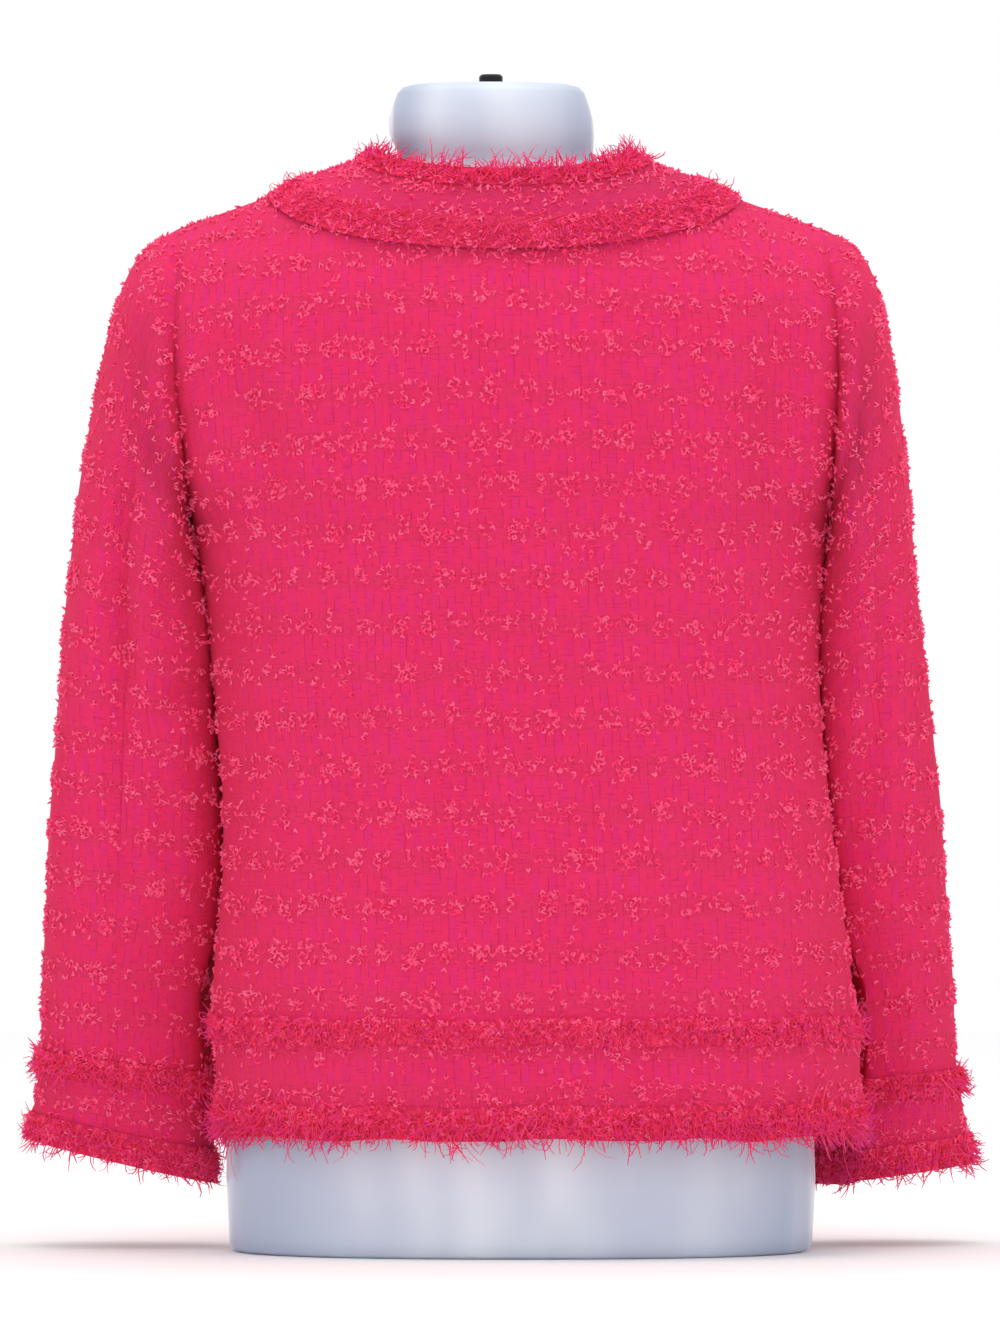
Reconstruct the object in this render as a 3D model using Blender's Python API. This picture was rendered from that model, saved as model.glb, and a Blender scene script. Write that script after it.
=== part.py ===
"""A cropped tweed jacket with fringed trims, standing on a smooth limbless dress form.

Metres, +Z up. The jacket's front faces -Y and its left side is at -X; the form stands on z = 0.
Every cloth piece is a thin wall between an outer surface and the same surface moved in along its normals.
The outer surfaces come from short tables of sections: BODY for the torso, SLEEVE for each arm.
"""

import math
from collections import namedtuple

import bmesh
import bpy

# ---------------------------------------------------------------- driving sizes
CLOTH = 0.0022  # tweed wall
SEAM = 0.0003  # gap between two pieces sewn together
OPENING = 0.004  # gap between the two front edges

HEM_Z = 0.066  # lower edge of the cloth
ARMPIT_Z = 0.400  # top of the side seams
SPRING_Z = 0.470  # where the body starts to close in towards the shoulder ridge
BODY_POWER = 2.3  # 2 is an ellipse, more is squarer
ROOF_POWER = 2.3

RIDGE_X, RIDGE_Z = 0.134, 0.577  # a point of the shoulder seam
RIDGE_SLOPE = 0.37
RIDGE_ROUND = 0.040  # rounds the ridge over the neck

NECK_X = -0.002  # middle of the neckline
NECK_HALF = 0.068  # neckline half width at the shoulder seams
NAPE_Z, THROAT_Z = 0.588, 0.512  # neckline at the centre back and the centre front
COLLAR_SIDE, COLLAR_BACK, COLLAR_FRONT = 0.044, 0.0295, 0.036  # collar reach, seen from the back

# ---------------------------------------------------------------- section tables
Section = namedtuple("Section", "z centre_x half_width back_depth front_depth")
BODY = [
    Section(0.066, -0.021, 0.1760, 0.116, 0.122),
    Section(0.110, -0.020, 0.1770, 0.114, 0.121),
    Section(0.150, -0.018, 0.1755, 0.111, 0.119),
    Section(0.200, -0.017, 0.1695, 0.107, 0.117),
    Section(0.250, -0.014, 0.1665, 0.104, 0.117),
    Section(0.310, -0.009, 0.1665, 0.104, 0.121),
    Section(0.360, -0.0075, 0.1700, 0.106, 0.123),
    Section(0.400, -0.006, 0.1750, 0.106, 0.120),
    Section(0.435, -0.0045, 0.1840, 0.1055, 0.115),
    Section(0.475, -0.003, 0.1930, 0.104, 0.108),
    Section(0.520, -0.002, 0.1985, 0.101, 0.098),
    Section(0.580, -0.002, 0.2000, 0.096, 0.088),
    Section(0.620, -0.002, 0.2000, 0.090, 0.080),
]
FORM = [
    Section(0.000, -0.0115, 0.1600, 0.096, 0.094),
    Section(0.040, -0.0115, 0.1620, 0.099, 0.095),
    Section(0.080, -0.0110, 0.1610, 0.100, 0.095),
    Section(0.140, -0.0100, 0.1560, 0.096, 0.094),
    Section(0.220, -0.0070, 0.1420, 0.083, 0.094),
    Section(0.280, -0.0050, 0.1400, 0.081, 0.100),
    Section(0.350, -0.0040, 0.1490, 0.088, 0.112),
    Section(0.430, -0.0030, 0.1580, 0.096, 0.106),
    Section(0.475, -0.0025, 0.1630, 0.096, 0.098),
    Section(0.520, -0.0020, 0.1655, 0.093, 0.084),
    Section(0.580, -0.0020, 0.1660, 0.084, 0.057),
    Section(0.620, -0.0020, 0.1660, 0.076, 0.042),
]
FORM_INSET = 0.0036  # the form's shoulder ridge below the jacket's outer ridge
FORM_HOLLOW = 1.2  # how much deeper it lies towards the neck, as a share of the inset
BLEND = 24  # how sharply the form's neck grows out of its shoulders
Neck = namedtuple("Neck", "z centre_x half_width half_depth")
NECK = [
    Neck(0.560, 0.0000, 0.0500, 0.0430),
    Neck(0.590, 0.0010, 0.0490, 0.0420),
    Neck(0.606, 0.0030, 0.0545, 0.0470),
    Neck(0.618, 0.0050, 0.0568, 0.0485),
    Neck(0.630, 0.0050, 0.0538, 0.0465),
    Neck(0.6365, 0.0050, 0.0515, 0.0445),
    Neck(0.6395, 0.0050, 0.0485, 0.0415),
    Neck(0.6410, 0.0050, 0.0430, 0.0360),
]
NECK_Y = -0.004  # the neck stands a little in front of the middle of the shoulders
PLUG_RADIUS, PLUG_HEIGHT = 0.0065, 0.0055
FLOOR_ROUND = 0.004  # rounded lower edge of the form

# A sleeve ring is an oval between its outer and its inner point. The ring before the first is the armhole.
Ring = namedtuple("Ring", "outer_x outer_z inner_x inner_z centre_y half_depth")
SLEEVE = {
    "right": [
        Ring(0.1935, 0.5510, 0.1745, 0.3990, -0.0010, 0.0590),
        Ring(0.2045, 0.5360, 0.1735, 0.3960, -0.0015, 0.0620),
        Ring(0.2150, 0.5050, 0.1710, 0.3890, -0.0025, 0.0640),
        Ring(0.2235, 0.4650, 0.1680, 0.3770, -0.0040, 0.0645),
        Ring(0.2310, 0.4220, 0.1640, 0.3600, -0.0060, 0.0635),
        Ring(0.2375, 0.3700, 0.1590, 0.3320, -0.0100, 0.0610),
        Ring(0.2425, 0.3150, 0.1540, 0.2930, -0.0160, 0.0580),
        Ring(0.2465, 0.2600, 0.1505, 0.2460, -0.0230, 0.0540),
        Ring(0.2500, 0.2050, 0.1500, 0.1950, -0.0300, 0.0500),
        Ring(0.2530, 0.1520, 0.1545, 0.1430, -0.0370, 0.0460),
        Ring(0.2545, 0.1080, 0.1570, 0.0950, -0.0430, 0.0430),
        Ring(0.2600, 0.0660, 0.1590, 0.0430, -0.0480, 0.0420),
    ],
    "left": [
        Ring(-0.1950, 0.5510, -0.1815, 0.3990, -0.0010, 0.0590),
        Ring(-0.2050, 0.5360, -0.1815, 0.3960, -0.0015, 0.0620),
        Ring(-0.2135, 0.5050, -0.1795, 0.3890, -0.0030, 0.0640),
        Ring(-0.2195, 0.4650, -0.1765, 0.3770, -0.0060, 0.0645),
        Ring(-0.2250, 0.4220, -0.1735, 0.3600, -0.0100, 0.0630),
        Ring(-0.2290, 0.3700, -0.1705, 0.3320, -0.0170, 0.0600),
        Ring(-0.2345, 0.3150, -0.1685, 0.2930, -0.0260, 0.0560),
        Ring(-0.2405, 0.2600, -0.1685, 0.2460, -0.0360, 0.0520),
        Ring(-0.2465, 0.2050, -0.1700, 0.1950, -0.0470, 0.0470),
        Ring(-0.2510, 0.1520, -0.1730, 0.1430, -0.0580, 0.0430),
        Ring(-0.2540, 0.1000, -0.1765, 0.0920, -0.0680, 0.0400),
        Ring(-0.2620, 0.0520, -0.1740, 0.0400, -0.0740, 0.0380),
    ],
}
SHOULDER_TIP_X = {"right": 0.177, "left": -0.180}
ARMHOLE_BOW = 0.004  # the armhole curves outward by this between armpit and tip
SIDE_SIGN = {"right": 1, "left": -1}  # +X is the wearer's right
HIND_SEAM, FORE_SEAM = 0.56 * math.pi, 1.62 * math.pi  # sleeve seams, as angles round the arm
CREASE_DEPTH, CREASE_WIDTH = 0.0022, 0.30  # the long soft trough beside the hind seam, radians wide
ROOM, TRIM_ROOM = 0.0016, 0.0130  # from the sleeve to the body, and at the height of the trims
TRIM_ZONE_Z, TRIM_FADE = 0.135, 0.045

# A trim is a band between two lines on its cloth; its lifts are above the cloth's outer surface.
Trim = namedtuple("Trim", "base tip base_low base_high tip_low tip_high")
HEM_TRIMS = {
    "upper": Trim(0.131, 0.109, 0.0003, 0.0022, 0.0008, 0.0052),
    "lower": Trim(0.085, 0.0565, 0.0003, 0.0022, 0.0008, 0.0056),
}
CUFF_TRIMS = {
    "upper": Trim(0.050, 0.024, 0.0009, 0.0026, 0.0012, 0.0052),
    "lower": Trim(0.014, -0.009, 0.0007, 0.0024, 0.0010, 0.0056),
}
COLLAR_LIFT = 0.0012
NECK_TRIM = Trim(0.20, -0.12, 0.0036, 0.0058, 0.0070, 0.0110)
COLLAR_TRIM = Trim(0.74, 1.46, 0.0039, 0.0061, 0.0038, 0.0087)


# ---------------------------------------------------------------- small helpers
def add(p, q, scale=1.0):
    return tuple(a + scale * b for a, b in zip(p, q))


def unit(v):
    size = math.sqrt(sum(a * a for a in v)) or 1.0
    return tuple(a / size for a in v)


def cross(a, b):
    return (
        a[1] * b[2] - a[2] * b[1],
        a[2] * b[0] - a[0] * b[2],
        a[0] * b[1] - a[1] * b[0],
    )


def ease(share):
    """0 to 1 with soft ends."""
    share = min(max(share, 0.0), 1.0)
    return share * share * (3 - 2 * share)


def slope(rows, i, key):
    """The slope of one column at row i, from its neighbours."""
    low, high = max(i - 1, 0), min(i + 1, len(rows) - 1)
    return (rows[high][key] - rows[low][key]) / (rows[high].z - rows[low].z)


def section_at(table, z):
    """The table's row at height z, on smooth curves through its rows."""
    z = min(max(z, table[0].z), table[-1].z)
    i = max(k for k in range(len(table) - 1) if table[k].z <= z)
    span = table[i + 1].z - table[i].z
    t = (z - table[i].z) / span
    values = [z]
    for key in range(1, len(table[0])):
        a, b = table[i][key], table[i + 1][key]
        rise, fall = slope(table, i, key) * span, slope(table, i + 1, key) * span
        curve = (2 * t**3 - 3 * t**2 + 1) * a + (3 * t**2 - 2 * t**3) * b
        values.append(curve + (t**3 - 2 * t**2 + t) * rise + (t**3 - t**2) * fall)
    return type(table[0])(*values)


# ---------------------------------------------------------------- the torso surface
def ridge_z(x):
    """Height of the shoulder ridge over x."""
    run = math.hypot(x, RIDGE_ROUND) - math.hypot(RIDGE_X, RIDGE_ROUND)
    return RIDGE_Z - RIDGE_SLOPE * run


def roof(x, z, inset=0.0):
    """1 below the spring line, falling to 0 at the ridge."""
    if z <= SPRING_Z:
        return 1.0
    share = min((z - SPRING_Z) / max(ridge_z(x) - inset - SPRING_Z, 1e-6), 1.0)
    return (1 - share**ROOF_POWER) ** (1 / ROOF_POWER)


def fullness(table, p, inset=0.0):
    """1 on the surface, less inside it and more outside."""
    x, y, z = p
    row = section_at(table, z)
    inset *= 1 + FORM_HOLLOW * max(1 - abs(x) / 0.12, 0)
    depth = (row.back_depth if y > 0 else row.front_depth) * roof(x, z, inset)
    across = abs(x - row.centre_x) / row.half_width
    if depth < 1e-6:
        return 9.0
    return (across**BODY_POWER + (abs(y) / depth) ** BODY_POWER) ** (1 / BODY_POWER)


def body_point(x, z, back):
    row = section_at(BODY, z)
    across = min(abs(x - row.centre_x) / row.half_width, 1.0)
    depth = (row.back_depth if back else row.front_depth) * roof(x, z)
    depth *= (1 - across**BODY_POWER) ** (1 / BODY_POWER)
    return (x, depth if back else -depth, z)


def body_normal(p):
    """Outward direction of the torso surface at p."""
    step = 0.0002
    if roof(p[0], p[2] + step) < 0.12:
        return unit((math.copysign(RIDGE_SLOPE, p[0]), 0.0, 1.0))
    steps = ((step, 0, 0), (0, step, 0), (0, 0, step))
    rise = [fullness(BODY, add(p, s)) - fullness(BODY, add(p, s, -1)) for s in steps]
    return unit(rise)


def armhole_x(side, z):
    """The curved plane in which body and sleeve are sewn together."""
    row = section_at(BODY, ARMPIT_Z)
    sign = SIDE_SIGN[side]
    low, tip = row.centre_x + sign * row.half_width, SHOULDER_TIP_X[side]
    share = min(max((z - ARMPIT_Z) / (ridge_z(tip) - ARMPIT_Z), 0.0), 1.0)
    return low + (tip - low) * share + sign * ARMHOLE_BOW * math.sin(math.pi * share) ** 2


def panel_x(side, share, z):
    """x at a share (0 at the centre line, 1 at the side seam or armhole) of a panel's width."""
    row = section_at(BODY, z)
    widest = math.pi / 2
    if z > ARMPIT_Z + 1e-9:
        across = min(abs(armhole_x(side, z) - row.centre_x) / row.half_width, 1.0)
        widest = math.asin(across ** (BODY_POWER / 2))
    return row.centre_x + SIDE_SIGN[side] * row.half_width * math.sin(share * widest) ** (2 / BODY_POWER)


def neckline_z(x, back):
    """The neckline between the shoulder seams: half an ellipse, deeper in front."""
    across = min(abs(x - NECK_X) / NECK_HALF, 1.0)
    edge = ridge_z(NECK_X + math.copysign(NECK_HALF, x - NECK_X))
    return edge - (edge - (NAPE_Z if back else THROAT_Z)) * math.sqrt(1 - across**2)


def panel_top(side, share, back):
    """The height at which a panel's column meets the neckline or the shoulder seam."""
    z = 0.55
    for _ in range(80):
        x = panel_x(side, share, z)
        aim = neckline_z(x, back) if abs(x - NECK_X) < NECK_HALF else ridge_z(x)
        z += 0.5 * (aim - z)
    return z


# ---------------------------------------------------------------- meshes
def make_material(name, colour, roughness):
    material = bpy.data.materials.new(name)
    material.use_nodes = True
    shader = material.node_tree.nodes["Principled BSDF"]
    shader.inputs["Base Color"].default_value = (*colour, 1.0)
    shader.inputs["Roughness"].default_value = roughness
    return material


def finish_object(name, bm, material, corner=50):
    bmesh.ops.recalc_face_normals(bm, faces=bm.faces)
    mesh = bpy.data.meshes.new(name)
    bm.to_mesh(mesh)
    bm.free()
    obj = bpy.data.objects.new(name, mesh)
    mesh.materials.append(material)
    mesh.shade_smooth()
    mesh.set_sharp_from_angle(angle=math.radians(corner))
    bpy.context.scene.collection.objects.link(obj)
    return obj


def wall(name, outer, inner, material, ring=False):
    """A closed wall between two grids of points. ring joins each row's last point to its first."""
    rows, columns = len(outer), len(outer[0])
    bm = bmesh.new()
    grids = [[[bm.verts.new(p) for p in row] for row in grid] for grid in (outer, inner)]
    first, second = grids
    steps = columns if ring else columns - 1
    for j in range(steps):
        k = (j + 1) % columns
        for i in range(rows - 1):
            bm.faces.new((first[i][j], first[i][k], first[i + 1][k], first[i + 1][j]))
            bm.faces.new((second[i][j], second[i + 1][j], second[i + 1][k], second[i][k]))
        for i in (0, rows - 1):
            bm.faces.new((first[i][j], second[i][j], second[i][k], first[i][k]))
    if not ring:
        for i in range(rows - 1):
            for j in (0, columns - 1):
                bm.faces.new((first[i][j], first[i + 1][j], second[i + 1][j], second[i][j]))
    return finish_object(name, bm, material)


def stack(name, rings, material, corner=40):
    """A solid closed by a flat face below its first ring and above its last."""
    bm = bmesh.new()
    made = [[bm.verts.new(p) for p in ring] for ring in rings]
    for low, high in zip(made, made[1:]):
        for j in range(len(low)):
            k = (j + 1) % len(low)
            bm.faces.new((low[j], low[k], high[k], high[j]))
    bm.faces.new(made[0][::-1])
    bm.faces.new(made[-1])
    return finish_object(name, bm, material, corner)


# ---------------------------------------------------------------- body panels
LEVELS = [0.066, 0.085, 0.109, 0.131, 0.165, 0.205, 0.245, 0.285, 0.325, 0.365, 0.400]
LEVELS += [0.405, 0.416, 0.434, 0.458, 0.485, 0.511, 0.532, 0.546, 0.5545, 0.5590, 0.5605]
NECK_STEPS, SHOULDER_STEPS = 5, 5


def panel_shares(side):
    """Column positions: one column runs up to the point where neckline and shoulder seam meet."""
    low, high = 0.0, 1.0
    for _ in range(50):
        share = (low + high) / 2
        x = panel_x(side, share, panel_top(side, share, True))
        low, high = (share, high) if abs(x - NECK_X) < NECK_HALF else (low, share)
    near = [high * (1 - (1 - j / NECK_STEPS) ** 2.3) for j in range(NECK_STEPS)]
    return near + [high + (1 - high) * j / SHOULDER_STEPS for j in range(SHOULDER_STEPS + 1)]


def armhole_normal(p):
    """Thickness direction along an armhole: square to the arm, so that both sides of the seam match."""
    if p[2] < ARMPIT_Z + 1e-6:
        return (0.0, 0.0, -1.0)
    _, y, z = body_normal(p)
    return unit((0.0, y, z))


def panel_edge(side, share, z, back, on_ridge):
    """A point of a panel's outer surface and the direction of its thickness."""
    sign, face = SIDE_SIGN[side], 1 if back else -1
    x = panel_x(side, share, z)
    if on_ridge:
        lean = 0.0 if share == 1 else sign * RIDGE_SLOPE
        return (x, face * SEAM / 2, z), unit((lean, 0, 1))
    if share == 1 and z <= ARMPIT_Z + 1e-9:
        return (x, face * SEAM / 2, z), (sign, 0, 0)
    point = body_point(x, z, back)
    if share == 1:
        return point, armhole_normal(point)
    normal = body_normal(point)
    if share == 0:
        edge = (SEAM if back else OPENING) / 2
        return (x + sign * edge, point[1], z), unit((0, normal[1], normal[2]))
    return point, normal


def build_panel(side, back, material):
    tip = ridge_z(SHOULDER_TIP_X[side])
    parts = [(z - HEM_Z) / (tip - HEM_Z) for z in LEVELS] + [1.0]
    columns = []
    for share in panel_shares(side):
        top = panel_top(side, share, back)
        at_ridge = abs(panel_x(side, share, top) - NECK_X) > NECK_HALF - 1e-5
        heights = [HEM_Z + (top - HEM_Z) * part for part in parts]
        columns.append([panel_edge(side, share, z, back, at_ridge and z == heights[-1]) for z in heights])
    outer = [[point for point, _ in row] for row in zip(*columns)]
    inner = [[add(point, normal, -CLOTH) for point, normal in row] for row in zip(*columns)]
    return wall(f"{'back' if back else 'front'}_{side}", outer, inner, material)


# ---------------------------------------------------------------- hem trims
def hem_line(z, lift):
    """A line round the body at height z, from the right front edge over the back to the left one."""
    points = []
    for side in ("right", "left"):
        shares = panel_shares(side)
        for back in (False, True):
            for share in shares if back else shares[:-1]:
                x = panel_x(side, share, z)
                point = body_point(x, z, back)
                normal = body_normal(point) if share < 1 else (SIDE_SIGN[side], 0, 0)
                if share == 0 and back and side == "left":
                    continue
                if share == 0 and not back:
                    point = (x + SIDE_SIGN[side] * OPENING / 2, point[1], z)
                    normal = unit((0, normal[1], normal[2]))
                points.append((side, back, share, add(point, normal, lift)))
    order = {("right", False): 0, ("right", True): 1, ("left", True): 2, ("left", False): 3}

    def place(entry):
        quarter = order[entry[:2]]
        forward = quarter in (0, 2)
        return quarter + (entry[2] if forward else 1 - entry[2])

    return [entry[3] for entry in sorted(points, key=place)]


def build_hem_trim(level, material):
    trim = HEM_TRIMS[level]
    outer, inner = [], []
    for part in (0.0, 0.5, 1.0):
        z = trim.base + (trim.tip - trim.base) * part
        inner.append(hem_line(z, trim.base_low + (trim.tip_low - trim.base_low) * part))
        outer.append(hem_line(z, trim.base_high + (trim.tip_high - trim.base_high) * part))
    return wall(f"hem_fringe_{level}", outer, inner, material)


# ---------------------------------------------------------------- collar and its trims
QUARTER = (0, 1, 3, 6, 11, 18, 28, 42, 58, 74)
ROUND_NECK = [-90] + [-a for a in QUARTER[:0:-1]] + list(QUARTER) + [90]
ROUND_NECK += [180 - a for a in QUARTER[::-1]] + [180 + a for a in QUARTER[1:]] + [270]


def collar_point(degrees, reach, lift):
    """A point over the panels; degrees run round the neck, reach is 0 at the neckline, 1 at the edge."""
    angle = math.radians(degrees)
    back = 0 <= degrees <= 180
    half = NECK_HALF + reach * COLLAR_SIDE
    x = NECK_X + half * math.cos(angle)
    edge = ridge_z(NECK_X + math.copysign(half, math.cos(angle)))
    lowest = NAPE_Z - reach * COLLAR_BACK if back else THROAT_Z - reach * COLLAR_FRONT
    z = edge - (edge - lowest) * abs(math.sin(angle))
    if degrees in (0, 180):
        return add((x, 0.0, edge), unit((math.copysign(RIDGE_SLOPE, x), 0, 1)), lift)
    point = body_point(x, z, back)
    normal = body_normal(point)
    if degrees in (-90, 270):
        point = (NECK_X + (OPENING / 2 if degrees < 0 else -OPENING / 2), point[1], point[2])
        normal = unit((0, normal[1], normal[2]))
    return add(point, normal, lift)


def build_collar(material):
    reaches = (0.0, 0.34, 0.67, 1.0)
    outer = [[collar_point(a, r, COLLAR_LIFT + CLOTH) for a in ROUND_NECK] for r in reaches]
    inner = [[collar_point(a, r, COLLAR_LIFT) for a in ROUND_NECK] for r in reaches]
    return wall("collar", outer, inner, material)


def build_collar_trim(name, trim, material):
    outer, inner = [], []
    for part in (0.0, 0.5, 1.0):
        reach = trim.base + (trim.tip - trim.base) * part
        low = trim.base_low + (trim.tip_low - trim.base_low) * part
        high = trim.base_high + (trim.tip_high - trim.base_high) * part
        inner.append([collar_point(a, reach, low) for a in ROUND_NECK])
        outer.append([collar_point(a, reach, high) for a in ROUND_NECK])
    return wall(name, outer, inner, material)


# ---------------------------------------------------------------- sleeves
def armhole_point(side, angle):
    """The armhole: underarm at 0, back at a quarter turn, shoulder tip at half a turn."""
    tip = ridge_z(SHOULDER_TIP_X[side])
    middle, reach = (tip + ARMPIT_Z) / 2, (tip - ARMPIT_Z) / 2
    z = middle - reach * math.cos(angle)
    x = armhole_x(side, z)
    y = body_point(x, z, math.sin(angle) > 0)[1] if abs(math.sin(angle)) > 1e-6 else 0.0
    return (x + SIDE_SIGN[side] * SEAM, y, z)


def ring_point(row, angle):
    share = (1 - math.cos(angle)) / 2
    return (
        row.inner_x + (row.outer_x - row.inner_x) * share,
        row.centre_y + row.half_depth * math.sin(angle),
        row.inner_z + (row.outer_z - row.inner_z) * share,
    )


def clear_of_body(side, p):
    """Moves a sleeve point out until it is clear of the torso's cloth."""
    x, y, z = p
    if z > ARMPIT_Z:
        edge = armhole_x(side, z) + SIDE_SIGN[side] * SEAM
        return (max(x, edge) if side == "right" else min(x, edge), y, z)
    room = ROOM + (TRIM_ROOM - ROOM) * ease((TRIM_ZONE_Z + TRIM_FADE - z) / TRIM_FADE)
    row = section_at(BODY, z)
    depth = (row.back_depth if y > 0 else row.front_depth) + room
    across = abs(x - row.centre_x) / (row.half_width + room)
    size = (across**BODY_POWER + (abs(y) / depth) ** BODY_POWER) ** (1 / BODY_POWER)
    if size >= 1:
        return p
    return (row.centre_x + (x - row.centre_x) / size, y / size, z)


def sleeve_point(side, angle, along):
    """The sleeve's outer surface; along counts rings, 0 is the armhole."""
    table = SLEEVE[side]
    last = len(table)
    if along > last:
        end, before = sleeve_point(side, angle, last), sleeve_point(side, angle, last - 0.25)
        return add(end, add(end, before, -1), (along - last) / 0.25)

    def ring(k):
        return armhole_point(side, angle) if k <= 0 else ring_point(table[min(k, last) - 1], angle)

    i = min(int(along), last - 1)
    t = along - i
    p0, p1, p2, p3 = ring(i - 1), ring(i), ring(i + 1), ring(i + 2)
    if i == 0:
        p0 = add(p1, add(p2, p1, -1), -1)
    point = tuple(
        0.5 * (2 * b + (c - a) * t + (2 * a - 5 * b + 4 * c - d) * t * t + (3 * b - a - 3 * c + d) * t**3)
        for a, b, c, d in zip(p0, p1, p2, p3)
    )
    if along < 1e-6:
        return point
    fade = math.sin(math.pi * min(max((along - 2) / 8.5, 0), 1))
    trough = CREASE_DEPTH * fade * math.exp(-(((angle - HIND_SEAM - 0.15) / CREASE_WIDTH) ** 2))
    return clear_of_body(side, (point[0], point[1] - trough, point[2]))


def sleeve_normal(side, angle, along):
    if along < 1e-6:
        point = armhole_point(side, angle)
        if abs(math.sin(angle)) < 1e-6:
            return (0.0, 0.0, -math.copysign(1.0, math.cos(angle)))
        return armhole_normal(add(point, (SIDE_SIGN[side], 0, 0), -SEAM))
    turn, step = 0.01, 0.01
    a = add(sleeve_point(side, angle + turn, along), sleeve_point(side, angle - turn, along), -1)
    b = add(sleeve_point(side, angle, along + step), sleeve_point(side, angle, along - step), -1)
    normal = unit(cross(a, b))
    return normal if side == "right" else add((0, 0, 0), normal, -1)


SLEEVE_ROWS = (0, 0.3, 0.65, 1, 1.5, 2, 2.6, 3.3, 4, 5, 6, 7, 8, 9, 10, 10.5, 11, 11.5, 12)
SLEEVE_STEPS = 10
HALF_SEAM = 0.0032  # half a seam's gap, as an angle round the arm


def sleeve_angles(start, end):
    span = end - start - 2 * HALF_SEAM
    return [start + HALF_SEAM + span * j / SLEEVE_STEPS for j in range(SLEEVE_STEPS + 1)]


def build_sleeve(side, name, start, end, material):
    angles = sleeve_angles(start, end)
    outer = [[sleeve_point(side, a, s) for a in angles] for s in SLEEVE_ROWS]
    inner = [
        [add(sleeve_point(side, a, s), sleeve_normal(side, a, s), -CLOTH) for a in angles]
        for s in SLEEVE_ROWS
    ]
    return wall(f"{name}_sleeve_{side}", outer, inner, material)


def along_at(side, distance):
    """Ring count at a distance up the sleeve from the cuff's edge, measured midway on the back."""
    last = len(SLEEVE[side])
    a, b = sleeve_point(side, math.pi / 2, last), sleeve_point(side, math.pi / 2, last - 1)
    return last - distance / math.dist(a, b)


def build_cuff_trim(side, level, material):
    trim = CUFF_TRIMS[level]
    angles = sleeve_angles(HIND_SEAM, FORE_SEAM)[:-1]
    angles += sleeve_angles(FORE_SEAM, HIND_SEAM + 2 * math.pi)[:-1]
    outer, inner = [], []
    for part in (0.0, 0.5, 1.0):
        along = along_at(side, trim.base + (trim.tip - trim.base) * part)
        low = trim.base_low + (trim.tip_low - trim.base_low) * part
        high = trim.base_high + (trim.tip_high - trim.base_high) * part
        frames = [(sleeve_point(side, a, along), sleeve_normal(side, a, along)) for a in angles]
        inner.append([add(point, normal, low) for point, normal in frames])
        outer.append([add(point, normal, high) for point, normal in frames])
    return wall(f"cuff_fringe_{level}_{side}", outer, inner, material, ring=True)


# ---------------------------------------------------------------- the form
FORM_HEIGHTS = (0.0, 0.0015, 0.004, 0.04, 0.08, 0.14, 0.18, 0.22, 0.25, 0.28, 0.315, 0.35, 0.39, 0.43)
FORM_HEIGHTS += (0.465, 0.49, 0.512, 0.53, 0.545, 0.557, 0.567, 0.576, 0.584, 0.592, 0.599, 0.606)
FORM_HEIGHTS += (0.614, 0.622, 0.630, 0.6365, 0.6395, 0.641)
FORM_COLUMNS = 44


def form_radius(angle, z):
    """Distance of the form's surface from its axis in one direction."""
    c, s = math.cos(angle), math.sin(angle)
    neck = section_at(NECK, z)
    radius = 0.0
    if z < ridge_z(0.0) - FORM_INSET:
        low, high = 0.0, 0.25
        for _ in range(40):
            middle = (low + high) / 2
            inside = fullness(FORM, (neck.centre_x + middle * c, middle * s, z), FORM_INSET) < 1
            low, high = (middle, high) if inside else (low, middle)
        radius = low
    if z < NECK[0].z:
        return radius
    a, b, shift = neck.half_width, neck.half_depth, NECK_Y
    qa, qb, qc = (c / a) ** 2 + (s / b) ** 2, -2 * s * shift / b**2, (shift / b) ** 2 - 1
    column = (-qb + math.sqrt(qb * qb - 4 * qa * qc)) / (2 * qa)
    top = max(radius, column)
    return top * ((radius / top) ** BLEND + (column / top) ** BLEND) ** (1 / BLEND)


def build_form(material):
    rings = []
    for z in FORM_HEIGHTS:
        inset = FLOOR_ROUND * (1 - math.sqrt(1 - (1 - min(z / FLOOR_ROUND, 1)) ** 2))
        centre = section_at(NECK, z).centre_x
        ring = []
        for j in range(FORM_COLUMNS):
            angle = 2 * math.pi * j / FORM_COLUMNS
            radius = form_radius(angle, z) - inset
            ring.append((centre + radius * math.cos(angle), radius * math.sin(angle), z))
        rings.append(ring)
    return stack("dress_form", rings, material)


def build_plug(material):
    centre, low = NECK[-1].centre_x, NECK[-1].z + SEAM
    rings = []
    for height, shrink in ((0, 0), (PLUG_HEIGHT - 0.0012, 0), (PLUG_HEIGHT, 0.0012)):
        radius = PLUG_RADIUS - shrink
        turns = [2 * math.pi * j / 24 for j in range(24)]
        rings.append([
            (centre + radius * math.cos(a), NECK_Y + radius * math.sin(a), low + height) for a in turns
        ])
    return stack("neck_plug", rings, material)


# ---------------------------------------------------------------- build
for old in list(bpy.data.objects):
    bpy.data.objects.remove(old, do_unlink=True)


def cloth(name, colour=(0.83, 0.04, 0.19)):
    return make_material(name + "_tweed", colour, 0.9)


def fringe(name):
    return make_material(name + "_fringe", (0.62, 0.02, 0.08), 0.95)


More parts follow.
